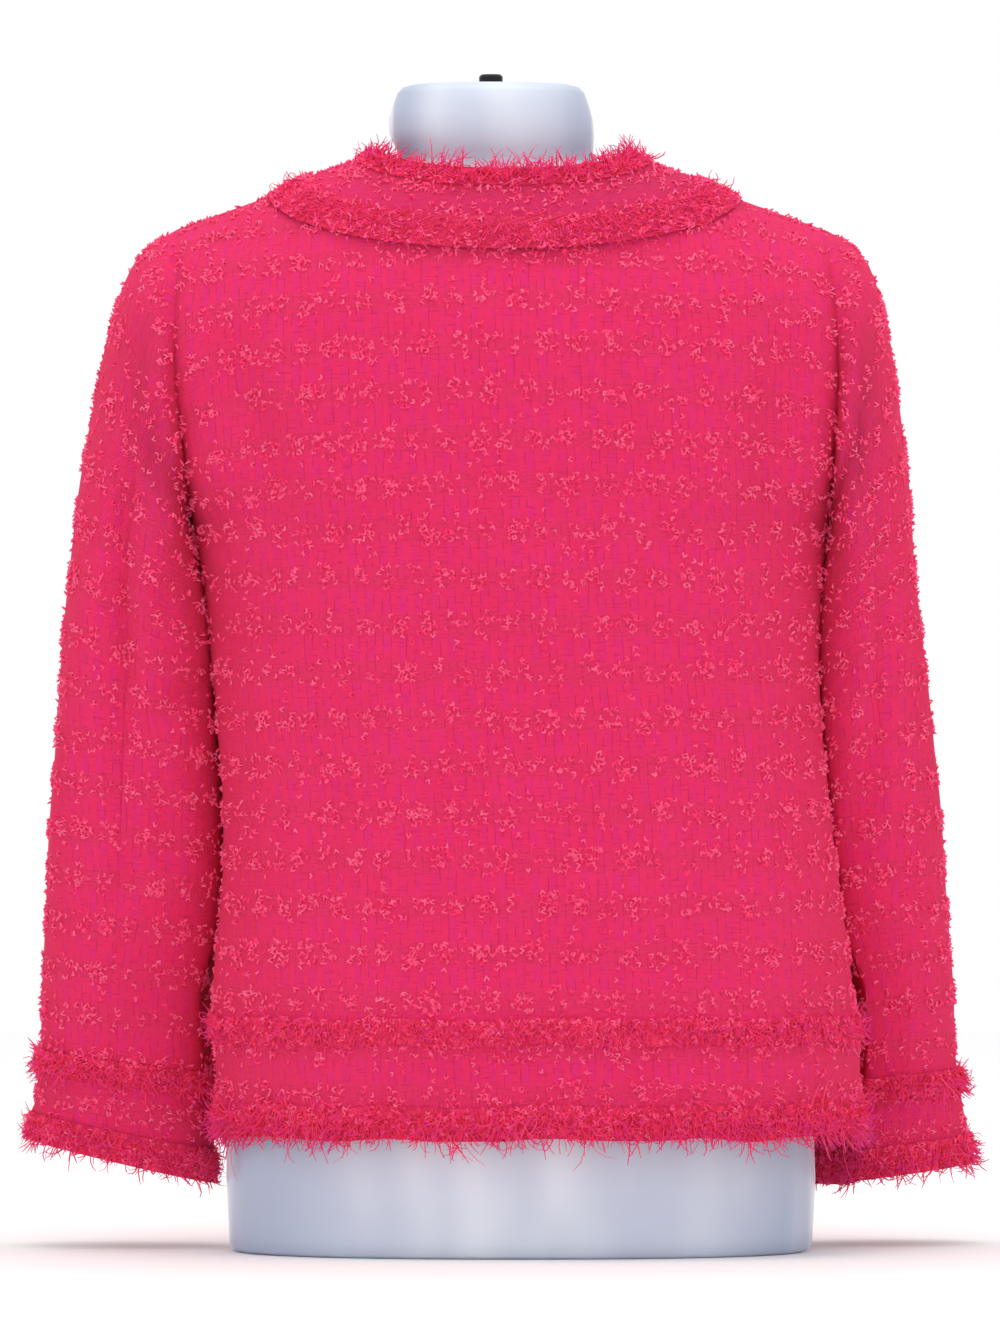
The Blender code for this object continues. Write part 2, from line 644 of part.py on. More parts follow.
build_form(make_material("frosted_plastic", (0.72, 0.76, 0.84), 0.3))
build_plug(make_material("plug_plastic", (0.05, 0.05, 0.06), 0.4))
for side in ("right", "left"):
    for back in (True, False):
        build_panel(side, back, cloth(f"{'back' if back else 'front'}_{side}"))
    build_sleeve(side, "upper", HIND_SEAM, FORE_SEAM, cloth(f"upper_sleeve_{side}"))
    build_sleeve(side, "under", FORE_SEAM, HIND_SEAM + 2 * math.pi, cloth(f"under_sleeve_{side}"))
    for level in CUFF_TRIMS:
        build_cuff_trim(side, level, fringe(f"cuff_{level}_{side}"))
for level in HEM_TRIMS:
    build_hem_trim(level, fringe(f"hem_{level}"))
build_collar(cloth("collar"))
build_collar_trim("neck_fringe", NECK_TRIM, fringe("neck"))
build_collar_trim("collar_fringe", COLLAR_TRIM, fringe("collar_edge"))
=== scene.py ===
# %% [markdown]
# # Dressing a cropped tweed jacket
# The real jacket is cut from loose, hairy tweed, edged with rows of frayed fringe, and hangs on a
# limbless form. The CAD part gives the true sizes: panels, sleeves, collar, trims and the dress form.
# Here each cloth piece is made again as a thin soft shell on the same surface. Then it gets its loops
# and its fringe. A cloth simulation could drape it too, but functions of a few sizes give the same
# jacket on every run.

import math
from collections import namedtuple

import bpy
import numpy as np
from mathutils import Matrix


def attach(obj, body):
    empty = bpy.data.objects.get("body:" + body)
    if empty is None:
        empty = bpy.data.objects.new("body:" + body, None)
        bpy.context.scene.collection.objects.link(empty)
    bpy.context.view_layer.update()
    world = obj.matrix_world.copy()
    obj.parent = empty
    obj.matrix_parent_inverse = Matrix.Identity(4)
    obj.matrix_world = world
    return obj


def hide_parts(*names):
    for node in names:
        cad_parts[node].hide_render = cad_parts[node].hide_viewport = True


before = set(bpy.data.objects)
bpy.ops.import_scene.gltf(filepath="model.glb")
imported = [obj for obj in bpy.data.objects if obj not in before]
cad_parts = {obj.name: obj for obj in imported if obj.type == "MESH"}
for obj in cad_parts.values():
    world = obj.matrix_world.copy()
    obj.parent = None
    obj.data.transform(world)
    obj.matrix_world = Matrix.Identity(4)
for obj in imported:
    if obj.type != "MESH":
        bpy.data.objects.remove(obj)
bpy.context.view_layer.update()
rng = np.random.default_rng(7)
print("frame:", sorted(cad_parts))

# %% [markdown]
# ## Sizes
# All sizes are in metres. They are the sizes the solids were cut to, so the soft pieces land on them.
# Only the inner side of the right sleeve's upper half is set 3 to 4 mm further in, to close the
# armhole's hollow. Each table has one row for a section of the body or a ring of a sleeve: a few rows
# are easy to read and to alter, where a long list of points is not.

# %% Sizes and section tables
CLOTH = 0.0022
HEM_Z, ARMPIT_Z, SPRING_Z = 0.066, 0.400, 0.470
BODY_POWER = ROOF_POWER = 2.3
RIDGE_X, RIDGE_Z, RIDGE_SLOPE, RIDGE_ROUND = 0.134, 0.577, 0.37, 0.040
NECK_X, NECK_HALF, NAPE_Z, THROAT_Z = -0.002, 0.068, 0.588, 0.512
COLLAR_SIDE, COLLAR_BACK, COLLAR_FRONT = 0.044, 0.0295, 0.036
OPENING = 0.004

Section = namedtuple("Section", "z centre_x half_width back_depth front_depth")
BODY = [
    Section(0.066, -0.021, 0.1760, 0.116, 0.122),
    Section(0.110, -0.020, 0.1770, 0.114, 0.121),
    Section(0.150, -0.018, 0.1755, 0.111, 0.119),
    Section(0.200, -0.017, 0.1695, 0.107, 0.117),
    Section(0.250, -0.014, 0.1665, 0.104, 0.117),
    Section(0.310, -0.009, 0.1665, 0.104, 0.121),
    Section(0.360, -0.0075, 0.1700, 0.106, 0.123),
    Section(0.400, -0.006, 0.1750, 0.106, 0.120),
    Section(0.435, -0.0045, 0.1840, 0.1055, 0.115),
    Section(0.475, -0.003, 0.1930, 0.104, 0.108),
    Section(0.520, -0.002, 0.1985, 0.101, 0.098),
    Section(0.580, -0.002, 0.2000, 0.096, 0.088),
    Section(0.620, -0.002, 0.2000, 0.090, 0.080),
]
Ring = namedtuple("Ring", "outer_x outer_z inner_x inner_z centre_y half_depth")
SLEEVE = {
    "right": [
        Ring(0.1935, 0.5510, 0.1715, 0.3990, -0.0010, 0.0590),
        Ring(0.2045, 0.5360, 0.1700, 0.3960, -0.0015, 0.0620),
        Ring(0.2150, 0.5050, 0.1680, 0.3890, -0.0025, 0.0640),
        Ring(0.2235, 0.4650, 0.1640, 0.3770, -0.0040, 0.0645),
        Ring(0.2310, 0.4220, 0.1600, 0.3600, -0.0060, 0.0635),
        Ring(0.2375, 0.3700, 0.1560, 0.3320, -0.0100, 0.0610),
        Ring(0.2425, 0.3150, 0.1540, 0.2930, -0.0160, 0.0580),
        Ring(0.2465, 0.2600, 0.1505, 0.2460, -0.0230, 0.0540),
        Ring(0.2500, 0.2050, 0.1500, 0.1950, -0.0300, 0.0500),
        Ring(0.2530, 0.1520, 0.1545, 0.1430, -0.0370, 0.0460),
        Ring(0.2545, 0.1080, 0.1570, 0.0950, -0.0430, 0.0430),
        Ring(0.2600, 0.0660, 0.1590, 0.0430, -0.0480, 0.0420),
    ],
    "left": [
        Ring(-0.1950, 0.5510, -0.1815, 0.3990, -0.0010, 0.0590),
        Ring(-0.2050, 0.5360, -0.1815, 0.3960, -0.0015, 0.0620),
        Ring(-0.2135, 0.5050, -0.1795, 0.3890, -0.0030, 0.0640),
        Ring(-0.2195, 0.4650, -0.1765, 0.3770, -0.0060, 0.0645),
        Ring(-0.2250, 0.4220, -0.1735, 0.3600, -0.0100, 0.0630),
        Ring(-0.2290, 0.3700, -0.1705, 0.3320, -0.0170, 0.0600),
        Ring(-0.2345, 0.3150, -0.1685, 0.2930, -0.0260, 0.0560),
        Ring(-0.2405, 0.2600, -0.1685, 0.2460, -0.0360, 0.0520),
        Ring(-0.2465, 0.2050, -0.1700, 0.1950, -0.0470, 0.0470),
        Ring(-0.2510, 0.1520, -0.1730, 0.1430, -0.0580, 0.0430),
        Ring(-0.2540, 0.1000, -0.1765, 0.0920, -0.0680, 0.0400),
        Ring(-0.2620, 0.0520, -0.1740, 0.0400, -0.0740, 0.0380),
    ],
}
SIDE_SIGN = {"right": 1, "left": -1}
SHOULDER_TIP_X = {"right": 0.177, "left": -0.180}
ARMHOLE_BOW = 0.004
HIND_SEAM, FORE_SEAM = 0.56 * math.pi, 1.62 * math.pi
ROOM, TRIM_ROOM, TRIM_ZONE_Z, TRIM_FADE = 0.0004, 0.0080, 0.135, 0.045  # a sleeve's distance from the body
ARMHOLE_FULL, ARMHOLE_WIDTH = 0.011, 0.026  # extra fullness of the body at the armhole
SLEEVE_HEAD_WIDTH = 0.022  # how far that fullness runs down the sleeve
STRAIGHT_Z, STRAIGHT_SHARE = 0.44, 0.72  # below this height the grid's rows are level
CORNER_FULL, CORNER_WIDTH = 0.009, 0.012  # the rounded corner down each side of the body
SLEEVE_POWER = 0.76  # under 1 makes a sleeve's section fuller than an ellipse
ARM_RADIUS = 0.05  # metres of cloth for one radian round the sleeve
print(f"{len(BODY)} body sections, {len(SLEEVE['right'])} rings in each sleeve")

# %% [markdown]
# ## Curves through the tables
# The body of a jacket is one smooth barrel that closes over the shoulders like a roof. It could be
# lofted from curve objects, but a function can tell where the surface is at any x and z. So every panel,
# trim and thread is placed by the same rule. Between two rows of the table it follows a smooth curve.

# %% Sections and the torso surface
BODY_ROWS = np.array(BODY)


def sections(z):
    """Centre, half width, back and front depth of the torso at each height."""
    rows, order = BODY_ROWS, np.arange(len(BODY_ROWS))
    z = np.clip(z, rows[0, 0], rows[-1, 0])
    low = np.clip(np.searchsorted(rows[:, 0], z, side="right") - 1, 0, len(rows) - 2)
    before, after = np.maximum(order - 1, 0), np.minimum(order + 1, len(rows) - 1)
    slopes = (rows[after] - rows[before]) / (rows[after, 0] - rows[before, 0])[:, None]
    span = (rows[low + 1, 0] - rows[low, 0])[..., None]
    t = (z[..., None] - rows[low, 0][..., None]) / span
    curve = (2 * t**3 - 3 * t**2 + 1) * rows[low] + (3 * t**2 - 2 * t**3) * rows[low + 1]
    curve += ((t**3 - 2 * t**2 + t) * slopes[low] + (t**3 - t**2) * slopes[low + 1]) * span
    return [curve[..., k] for k in range(1, 5)]


def ridge_z(x):
    """Height of the shoulder line, sloping down both ways from a rounded top."""
    return RIDGE_Z - RIDGE_SLOPE * (np.hypot(x, RIDGE_ROUND) - math.hypot(RIDGE_X, RIDGE_ROUND))


def body_y(x, z, back):
    """Where the torso surface is, in front of or behind the plane of the shoulder seams."""
    centre, half, behind, before = sections(z)
    share = np.clip((z - SPRING_Z) / (ridge_z(x) - SPRING_Z), 0, 1)
    roof = (1 - share**ROOF_POWER) ** (1 / ROOF_POWER)
    across = np.minimum(np.abs(x - centre) / half, 1)
    depth = np.where(back, behind, before) * roof * (1 - across**BODY_POWER) ** (1 / BODY_POWER)
    return np.where(back, depth, -depth)


def armhole_x(side, z):
    """Where the armhole seam is at each height, in a slight bow from underarm to shoulder tip."""
    centre, half, _, _ = sections(np.array(ARMPIT_Z))
    sign, tip = SIDE_SIGN[side], SHOULDER_TIP_X[side]
    low = float(centre + sign * half)
    share = np.clip((z - ARMPIT_Z) / (ridge_z(tip) - ARMPIT_Z), 0, 1)
    return low + (tip - low) * share + sign * ARMHOLE_BOW * np.sin(math.pi * share) ** 2


def panel_x(side, share, z):
    """x on a panel: share 0 is the centre line and share 1 the side seam or the armhole."""
    centre, half, _, _ = sections(z)
    across = np.clip(np.abs(armhole_x(side, z) - centre) / half, 0, 1)
    widest = np.where(z > ARMPIT_Z, np.arcsin(across ** (BODY_POWER / 2)), math.pi / 2)
    return centre + SIDE_SIGN[side] * half * np.sin(share * widest) ** (2 / BODY_POWER)


def panel_top(side, share, back):
    """Height of the panel's top edge, along the neckline and the shoulder, found step by step."""
    z = np.full_like(share, 0.55)
    for _ in range(80):
        x = panel_x(side, share, z)
        across = np.minimum(np.abs(x - NECK_X) / NECK_HALF, 1)
        edge = ridge_z(NECK_X + np.copysign(NECK_HALF, x - NECK_X))
        neckline = edge - (edge - (NAPE_Z if back else THROAT_Z)) * np.sqrt(1 - across**2)
        z += 0.5 * (np.where(across < 1, neckline, ridge_z(x)) - z)
    return z


_, hem_half, _, _ = sections(np.array(HEM_Z))
tip_z = ridge_z(SHOULDER_TIP_X["right"])
print(f"hem {2000 * hem_half:.0f} mm wide, shoulder tip {1000 * tip_z:.0f} mm high")


# %% [markdown]
# ## Soft folds
# Heavy tweed makes few, broad folds, deepest at the armhole, the elbow and the hem. They could be
# sculpted by hand, but then the two hidden sides would never match the side that is seen. So each row of
# a table is one fold: a trough has a negative height and a ridge a positive one. It runs from one point
# of the cloth to another and dies away at both ends.

# %% Fold tables
BODY_DEPTH, ARM_DEPTH = 1.5, 1.8  # how strongly the folds of the two tables are worked
Fold = namedtuple("Fold", "x0 z0 x1 z1 width height")
BODY_FOLDS = {
    True: [
        Fold(0.120, 0.400, 0.150, 0.505, 0.014, -0.0026),
        Fold(0.095, 0.420, 0.128, 0.520, 0.016, 0.0014),
        Fold(-0.150, 0.395, -0.152, 0.500, 0.014, -0.0026),
        Fold(-0.120, 0.410, -0.132, 0.520, 0.018, 0.0014),
        Fold(0.110, 0.150, 0.085, 0.330, 0.022, -0.0018),
        Fold(-0.140, 0.120, -0.110, 0.300, 0.022, -0.0020),
        Fold(-0.060, 0.070, -0.045, 0.210, 0.026, 0.0018),
        Fold(0.045, 0.070, 0.040, 0.180, 0.024, 0.0016),
        Fold(-0.100, 0.545, 0.090, 0.548, 0.012, -0.0010),
    ],
    False: [
        Fold(0.118, 0.400, 0.140, 0.500, 0.015, -0.0026),
        Fold(-0.128, 0.395, -0.148, 0.500, 0.015, -0.0026),
        Fold(0.100, 0.110, 0.080, 0.330, 0.024, 0.0020),
        Fold(-0.110, 0.100, -0.090, 0.320, 0.024, 0.0020),
        Fold(0.050, 0.070, 0.060, 0.230, 0.022, -0.0020),
        Fold(-0.070, 0.070, -0.064, 0.240, 0.022, -0.0020),
    ],
}
# On a sleeve, a fold goes from one angle and ring to another; its width is in metres along the arm's skin.
ArmFold = namedtuple("ArmFold", "angle0 ring0 angle1 ring1 width height")
ARM_FOLDS = {
    "right": [
        ArmFold(2.00, 2.2, 1.64, 9.0, 0.008, -0.0034),
        ArmFold(1.30, 2.2, 1.95, 5.2, 0.010, -0.0030),
        ArmFold(0.90, 3.2, 1.60, 6.0, 0.010, 0.0016),
        ArmFold(1.95, 5.6, 1.20, 8.6, 0.012, -0.0026),
        ArmFold(2.35, 6.0, 2.80, 9.0, 0.012, 0.0018),
        ArmFold(0.60, 6.6, 1.60, 7.4, 0.009, -0.0022),
        ArmFold(1.20, 8.6, 2.30, 9.4, 0.010, -0.0016),
        ArmFold(3.60, 5.4, 4.60, 6.8, 0.012, -0.0024),
        ArmFold(4.30, 6.6, 5.30, 7.4, 0.010, -0.0028),
        ArmFold(4.10, 2.4, 4.80, 4.8, 0.012, -0.0024),
    ],
    "left": [
        ArmFold(1.40, 2.0, 2.00, 5.0, 0.011, -0.0028),
        ArmFold(1.05, 3.0, 1.55, 5.8, 0.010, 0.0016),
        ArmFold(2.05, 5.8, 1.35, 8.4, 0.012, -0.0026),
        ArmFold(2.50, 5.4, 2.90, 8.6, 0.013, 0.0018),
        ArmFold(0.80, 6.4, 1.75, 7.1, 0.009, -0.0020),
        ArmFold(1.40, 8.8, 2.50, 9.3, 0.010, -0.0016),
        ArmFold(3.50, 5.6, 4.50, 6.6, 0.012, -0.0024),
        ArmFold(4.20, 6.8, 5.20, 7.5, 0.010, -0.0028),
        ArmFold(4.00, 2.6, 4.70, 5.0, 0.012, -0.0024),
    ],
}


def fold_height(p, q, folds):
    """The height of all folds at points (p, q) of the cloth, both in metres."""
    total = np.zeros(np.shape(p))
    for f in folds:
        dp, dq = f.x1 - f.x0, f.z1 - f.z0
        t = ((p - f.x0) * dp + (q - f.z0) * dq) / (dp * dp + dq * dq)
        off = np.abs((p - f.x0) * dq - (q - f.z0) * dp) / math.hypot(dp, dq)
        along = np.clip(t, -0.25, 1.25)
        bell = np.sin(math.pi * (along + 0.25) / 1.5) ** 1.5
        total += f.height * bell * np.exp(-((off / f.width) ** 2))
    return total


def ripple(p, q, seed, size=0.05):
    """Uneven low waves, a few millimetres deep at most when scaled, from a handful of sines."""
    local = np.random.default_rng(seed)
    total = np.zeros(np.shape(p))
    for k in range(7):
        turn, phase = local.uniform(0, math.pi), local.uniform(0, 2 * math.pi)
        wave = size * local.uniform(0.5, 1.6)
        total += np.sin(2 * math.pi * (p * math.cos(turn) + q * math.sin(turn)) / wave + phase)
    return total / 7


for part, folds in (("body", BODY_FOLDS), ("sleeves", ARM_FOLDS)):
    print(part, "folds:", sum(map(len, folds.values())))


# %% [markdown]
# ## Cloth as grids
# A cut piece of cloth is flat and has a grain. Here it is a grid of points, its rows across the grain.
# Each point knows its place in the flat cut: u across the grain and v along it. Those two numbers carry
# the weave. The grid gives the outer face; moved in by the cloth's thickness it gives the inner face. A
# Solidify modifier could do that, but building both faces keeps the edges square and the cut known.

# %% Grid tools
Cloth = namedtuple("Cloth", "points normals cut")


def grid_normals(points, toward):
    """Unit normals of a grid, all on the side that toward points to."""
    down = np.gradient(points, axis=0)
    across = np.gradient(points, axis=1)
    normals = np.cross(across, down)
    normals /= np.maximum(np.linalg.norm(normals, axis=2, keepdims=True), 1e-12)
    facing = (normals * toward).sum(axis=2).mean()
    return normals if facing > 0 else -normals


def run_lengths(points, axis):
    """Distance along the grid's rows or columns from its start."""
    steps = np.linalg.norm(np.diff(points, axis=axis), axis=2)
    start = np.zeros_like(np.take(steps, [0], axis=axis))
    return np.concatenate([start, np.cumsum(steps, axis=axis)], axis=axis)


def new_mesh(name, vertices, faces, material, layers=None, cut=None):
    """A mesh object from arrays. layers are numbers kept at each vertex, cut is the UV of each vertex."""
    mesh = bpy.data.meshes.new(name)
    mesh.from_pydata(vertices.tolist(), [], faces.tolist())
    for key, values in (layers or {}).items():
        layer = mesh.attributes.new(key, "FLOAT", "POINT")
        layer.data.foreach_set("value", np.asarray(values, dtype=np.float32).ravel())
    if cut is not None:
        corner = np.empty(len(mesh.loops), dtype=np.int64)
        mesh.loops.foreach_get("vertex_index", corner)
        uv = mesh.uv_layers.new(name="cut")
        uv.data.foreach_set("uv", cut[corner].astype(np.float32).ravel())
    mesh.materials.append(material)
    mesh.shade_smooth()
    obj = bpy.data.objects.new(name, mesh)
    bpy.context.scene.collection.objects.link(obj)
    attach(obj, "root")
    return obj


def shell(name, cloth, thickness, material, ring=False, lift=0.0):
    """A thin closed wall on a grid of cloth."""
    outer = cloth.points + cloth.normals * lift
    inner = outer - cloth.normals * thickness
    rows, columns = outer.shape[:2]
    count = rows * columns
    index = np.arange(count).reshape(rows, columns)
    if ring:
        index = np.concatenate([index, index[:, :1]], axis=1)
    a, b, c, d = index[:-1, :-1], index[:-1, 1:], index[1:, 1:], index[1:, :-1]
    front = np.stack([a, b, c, d], axis=-1).reshape(-1, 4)
    back = np.stack([a, d, c, b], axis=-1).reshape(-1, 4) + count
    edges = []
    rims = [(index[0], False), (index[-1], True)]
    if not ring:
        rims += [(index[:, 0], True), (index[:, -1], False)]
    for rim, flip in rims:
        p, q = (rim[1:], rim[:-1]) if not flip else (rim[:-1], rim[1:])
        edges.append(np.stack([p, q, q + count, p + count], axis=-1))
    faces = np.concatenate([front, back, *edges])
    a0, b0, d0 = outer[0, 0], outer[0, 1], outer[1, 0]
    if np.dot(np.cross(b0 - a0, d0 - a0), cloth.normals[0, 0]) < 0:
        faces = faces[:, ::-1]
    vertices = np.concatenate([outer.reshape(-1, 3), inner.reshape(-1, 3)])
    cut = np.tile(cloth.cut.reshape(-1, 2), (2, 1))
    obj = new_mesh(name, vertices, faces, material, cut=cut)
    obj.data.set_sharp_from_angle(angle=math.radians(50))
    return obj


def corner_areas(cloth):
    """Area of the parallelogram at each corner of the grid's cells."""
    p = cloth.points
    return np.linalg.norm(np.cross(p[:-1, 1:] - p[:-1, :-1], p[1:, :-1] - p[:-1, :-1]), axis=2)


# %% [markdown]
# ### Body panels
# The back and the fronts are cut in two halves each, with the seam down the centre back and the opening
# in front. Every row of a panel's grid runs from the centre to the side seam or the armhole, so
# neighbours share an edge. Folds are added along the surface's own normals. Near the armhole and down
# the sides the cloth stands fuller.

# %% Body panels as grids
def armhole_swell(z, side):
    """How full the cloth is at the armhole, nothing at the underarm and at the shoulder tip."""
    tip = ridge_z(SHOULDER_TIP_X[side])
    return np.sin(math.pi * np.clip((z - ARMPIT_Z) / (tip - ARMPIT_Z), 0, 1)) ** 0.6


def body_height(x, z, back):
    """Folds, low waves all over, and longer waves toward the hem."""
    height = BODY_DEPTH * fold_height(x, z, BODY_FOLDS[back])
    height = height + 0.0007 * ripple(x, z, 3 if back else 4, 0.07) * (z < 0.52)
    return height + 0.0022 * np.clip((0.15 - z) / 0.08, 0, 1) * ripple(x, 0.3 * z, 11 if back else 12, 0.12)


def body_grid(side, back, columns=38, rows=100):
    """One half of the back or one front, from the hem up."""
    share = np.linspace(0, 1, columns)
    top = panel_top(side, share, back)
    level = np.linspace(0, 1, rows)[:, None]
    straight = np.minimum(level / STRAIGHT_SHARE, 1)
    shaped = 1 - (1 - np.clip((level - STRAIGHT_SHARE) / (1 - STRAIGHT_SHARE), 0, 1)) ** 1.45
    z = HEM_Z + (STRAIGHT_Z - HEM_Z) * straight + (top[None, :] - STRAIGHT_Z) * shaped
    share = np.broadcast_to(share, z.shape)
    x = panel_x(side, share, z)
    y = body_y(x, z, back)
    points = np.stack([x, y, z], axis=-1)
    toward = np.array([0, 1 if back else -1, 0.3])
    normals = grid_normals(points, toward)
    height = body_height(x, z, back)
    to_edge = run_lengths(points, 1)[:, -1:] - run_lengths(points, 1)
    full = ARMHOLE_FULL * armhole_swell(z, side) * np.exp(-((to_edge / ARMHOLE_WIDTH) ** 2))
    corner = to_edge / CORNER_WIDTH
    below, above = np.clip((0.46 - z) / 0.08, 0, 1), np.clip((z - 0.13) / 0.05, 0, 1)
    full += CORNER_FULL * corner * np.exp(1 - corner) * below * above
    points[..., 1] += full if back else -full
    if not back:
        gap = SIDE_SIGN[side] * OPENING / 2
        points[:, 0, 0] += gap
        points[:, 1:, 0] += gap * np.exp(-np.arange(columns - 1) / 3)
    points = points + normals * height[..., None]
    u = run_lengths(points, 1) * SIDE_SIGN[side]
    cut = np.stack([u, HEM_Z + run_lengths(points, 0)], axis=-1)
    return Cloth(points, grid_normals(points, toward), cut)


# %% [markdown]
# ### Sleeves
# A jacket sleeve is a tube of two pieces, an upper and an under one, with one seam behind and one in
# front. The tube starts on the armhole itself and runs through the rings of the table. A curve through
# the rings keeps it smooth, and any point that would touch the body is moved out to just clear it.

# %% Sleeves as grids
def armhole_ring(side, angle):
    """The armhole, all round; angle 0 is the underarm and half a turn is the shoulder tip."""
    tip = float(ridge_z(SHOULDER_TIP_X[side]))
    z = (tip + ARMPIT_Z) / 2 - (tip - ARMPIT_Z) / 2 * np.cos(angle)
    x = armhole_x(side, z)
    y = body_y(x, z, np.sin(angle) > 0)
    y = np.where(np.abs(np.sin(angle)) < 1e-6, 0, y)
    return np.stack([x, y, z], axis=-1)


def table_ring(row, angle):
    """One ring of the table, from its inner point at angle 0 to its outer one at half a turn."""
    share = (1 - np.cos(angle)) / 2
    x = row.inner_x + (row.outer_x - row.inner_x) * share
    z = row.inner_z + (row.outer_z - row.inner_z) * share
    round_y = np.sign(np.sin(angle)) * np.abs(np.sin(angle)) ** SLEEVE_POWER
    return np.stack([x, row.centre_y + row.half_depth * round_y, z], axis=-1)


def clear_of_body(side, points):
    """Moves sleeve points out until they clear the torso's cloth and, lower down, its trims."""
    x, y, z = points[..., 0], points[..., 1], points[..., 2]
    fade = np.clip((TRIM_ZONE_Z + TRIM_FADE - z) / TRIM_FADE, 0, 1)
    room = ROOM + (TRIM_ROOM - ROOM) * fade * fade * (3 - 2 * fade)
    centre, half, behind, before = sections(z)
    depth = np.where(y > 0, behind, before) + room
    across = np.abs(x - centre) / (half + room)
    size = (across**BODY_POWER + (np.abs(y) / depth) ** BODY_POWER) ** (1 / BODY_POWER)
    scale = np.where((size < 1) & (z <= ARMPIT_Z), 1 / np.maximum(size, 1e-6), 1)
    edge = armhole_x(side, z)
    beyond = np.maximum(x, edge) if side == "right" else np.minimum(x, edge)
    x = np.where(z > ARMPIT_Z, beyond, centre + (x - centre) * scale)
    return np.stack([x, y * scale, z], axis=-1)


PAST_CUFF = 0.9  # the fringe goes on past the last ring by this share of the last step
SEAM_TROUGH = 0.0022  # the long hollow beside the hind seam


def sleeve_points(side, angles, along):
    """Points of the sleeve for each ring count and angle, smooth through the rings of the table."""
    table = SLEEVE[side]
    last = len(table)
    rings = [armhole_ring(side, angles)] + [table_ring(row, angles) for row in table]
    rings = [2 * rings[0] - rings[1]] + rings + [rings[-1]]
    rings = np.array(rings)
    inside = np.minimum(along, last)
    i = np.minimum(inside.astype(int), last - 1)
    t = (inside - i)[:, None, None]
    a, b, c, d = rings[i], rings[i + 1], rings[i + 2], rings[i + 3]
    p = 0.5 * (2 * b + (c - a) * t + (2 * a - 5 * b + 4 * c - d) * t**2 + (3 * b - a - 3 * c + d) * t**3)
    beyond = np.maximum(along - last, 0)[:, None, None]
    p = p + beyond * (rings[last + 1] - rings[last]) * PAST_CUFF
    fade = np.sin(math.pi * np.clip((along - 2) / 8.5, 0, 1))[:, None]
    by_seam = np.exp(-(((angles[None, :] - HIND_SEAM - 0.15) / 0.30) ** 2))
    p[..., 1] -= SEAM_TROUGH * fade * by_seam
    return clear_of_body(side, p)


def arm_spacing(side):
    """Metres along the arm for each ring count, measured on the back of the sleeve."""
    marks = np.linspace(0, 12, 121)
    line = sleeve_points(side, np.array([math.pi / 2]), marks)[:, 0]
    return marks, np.concatenate([[0], np.cumsum(np.linalg.norm(np.diff(line, axis=0), axis=1))])


def sleeve_grid(side, start, end, columns=26, rows=100, low=0.0, high=12.0, ring=False):
    """The sleeve between two angles and two ring counts, with rows evenly spaced along the arm."""
    marks, metres = arm_spacing(side)
    marks = np.append(marks, 13.0)
    metres = np.append(metres, metres[-1] + (metres[-1] - metres[-11]) * PAST_CUFF)
    first, final = np.interp(low, marks, metres), np.interp(high, marks, metres)
    along = np.interp(np.linspace(first, final, rows), metres, marks)
    angles = np.linspace(start, end, columns, endpoint=not ring)
    points = sleeve_points(side, angles, along)
    v = np.interp(along, marks, metres)
    normals = sleeve_normals(points, side, angles)
    turn = angles[None, :] * ARM_RADIUS
    reach = np.broadcast_to(v[:, None], points.shape[:2])
    folds = [
        Fold(
            f.angle0 * ARM_RADIUS,
            np.interp(f.ring0, marks, metres),
            f.angle1 * ARM_RADIUS,
            np.interp(f.ring1, marks, metres),
            f.width,
            f.height,
        )
        for f in ARM_FOLDS[side]
    ]
    height = fold_height(np.broadcast_to(turn, reach.shape), reach, folds)
    height += fold_height(np.broadcast_to(turn - 2 * math.pi * ARM_RADIUS, reach.shape), reach, folds)
    height *= ARM_DEPTH
    height += 0.0006 * ripple(np.broadcast_to(turn, reach.shape), reach, 21, 0.06)
    for seam_angle in (HIND_SEAM, FORE_SEAM, HIND_SEAM + 2 * math.pi):
        height -= 0.0002 * np.exp(-(((angles[None, :] - seam_angle) * ARM_RADIUS / 0.0025) ** 2))
    height *= np.clip(reach / 0.02, 0, 1)
    fixed = np.clip((v[-1] - reach) / 0.05, 0.35, 1)
    points = points + normals * (height * fixed)[..., None]
    full = armhole_swell(points[..., 2], side) * np.exp(-((reach / SLEEVE_HEAD_WIDTH) ** 2))
    points[..., 1] += ARMHOLE_FULL * full * np.sign(np.sin(angles))[None, :] * (low == 0)
    normals = sleeve_normals(points, side, angles)
    u = run_lengths(points, 1)
    u = u - u[:, columns // 2][:, None]
    cut = np.stack([u + 0.3, -reach], axis=-1)
    return Cloth(points, normals, cut)


def sleeve_normals(points, side, angles):
    """Outward unit normals; where the angles go all the way round, the two ends agree."""
    down = np.gradient(points, axis=0)
    across = np.gradient(points, axis=1)
    if len(angles) > 2 and abs(angles[-1] + (angles[1] - angles[0]) - angles[0] - 2 * math.pi) < 1e-6:
        wrapped = np.concatenate([points[:, -1:], points, points[:, :1]], axis=1)
        across = np.gradient(wrapped, axis=1)[:, 1:-1]
    normals = np.cross(across, down)
    if side == "left":
        normals = -normals
    return normals / np.maximum(np.linalg.norm(normals, axis=2, keepdims=True), 1e-12)


# %% [markdown]
# ### Collar
# The collar is a flat band sewn round the neckline that lies on the panels. Its fringes lie on it in
# turn. So it is worked out from the same surface, moved out by the cloth below. Its ends meet at the
# front opening.

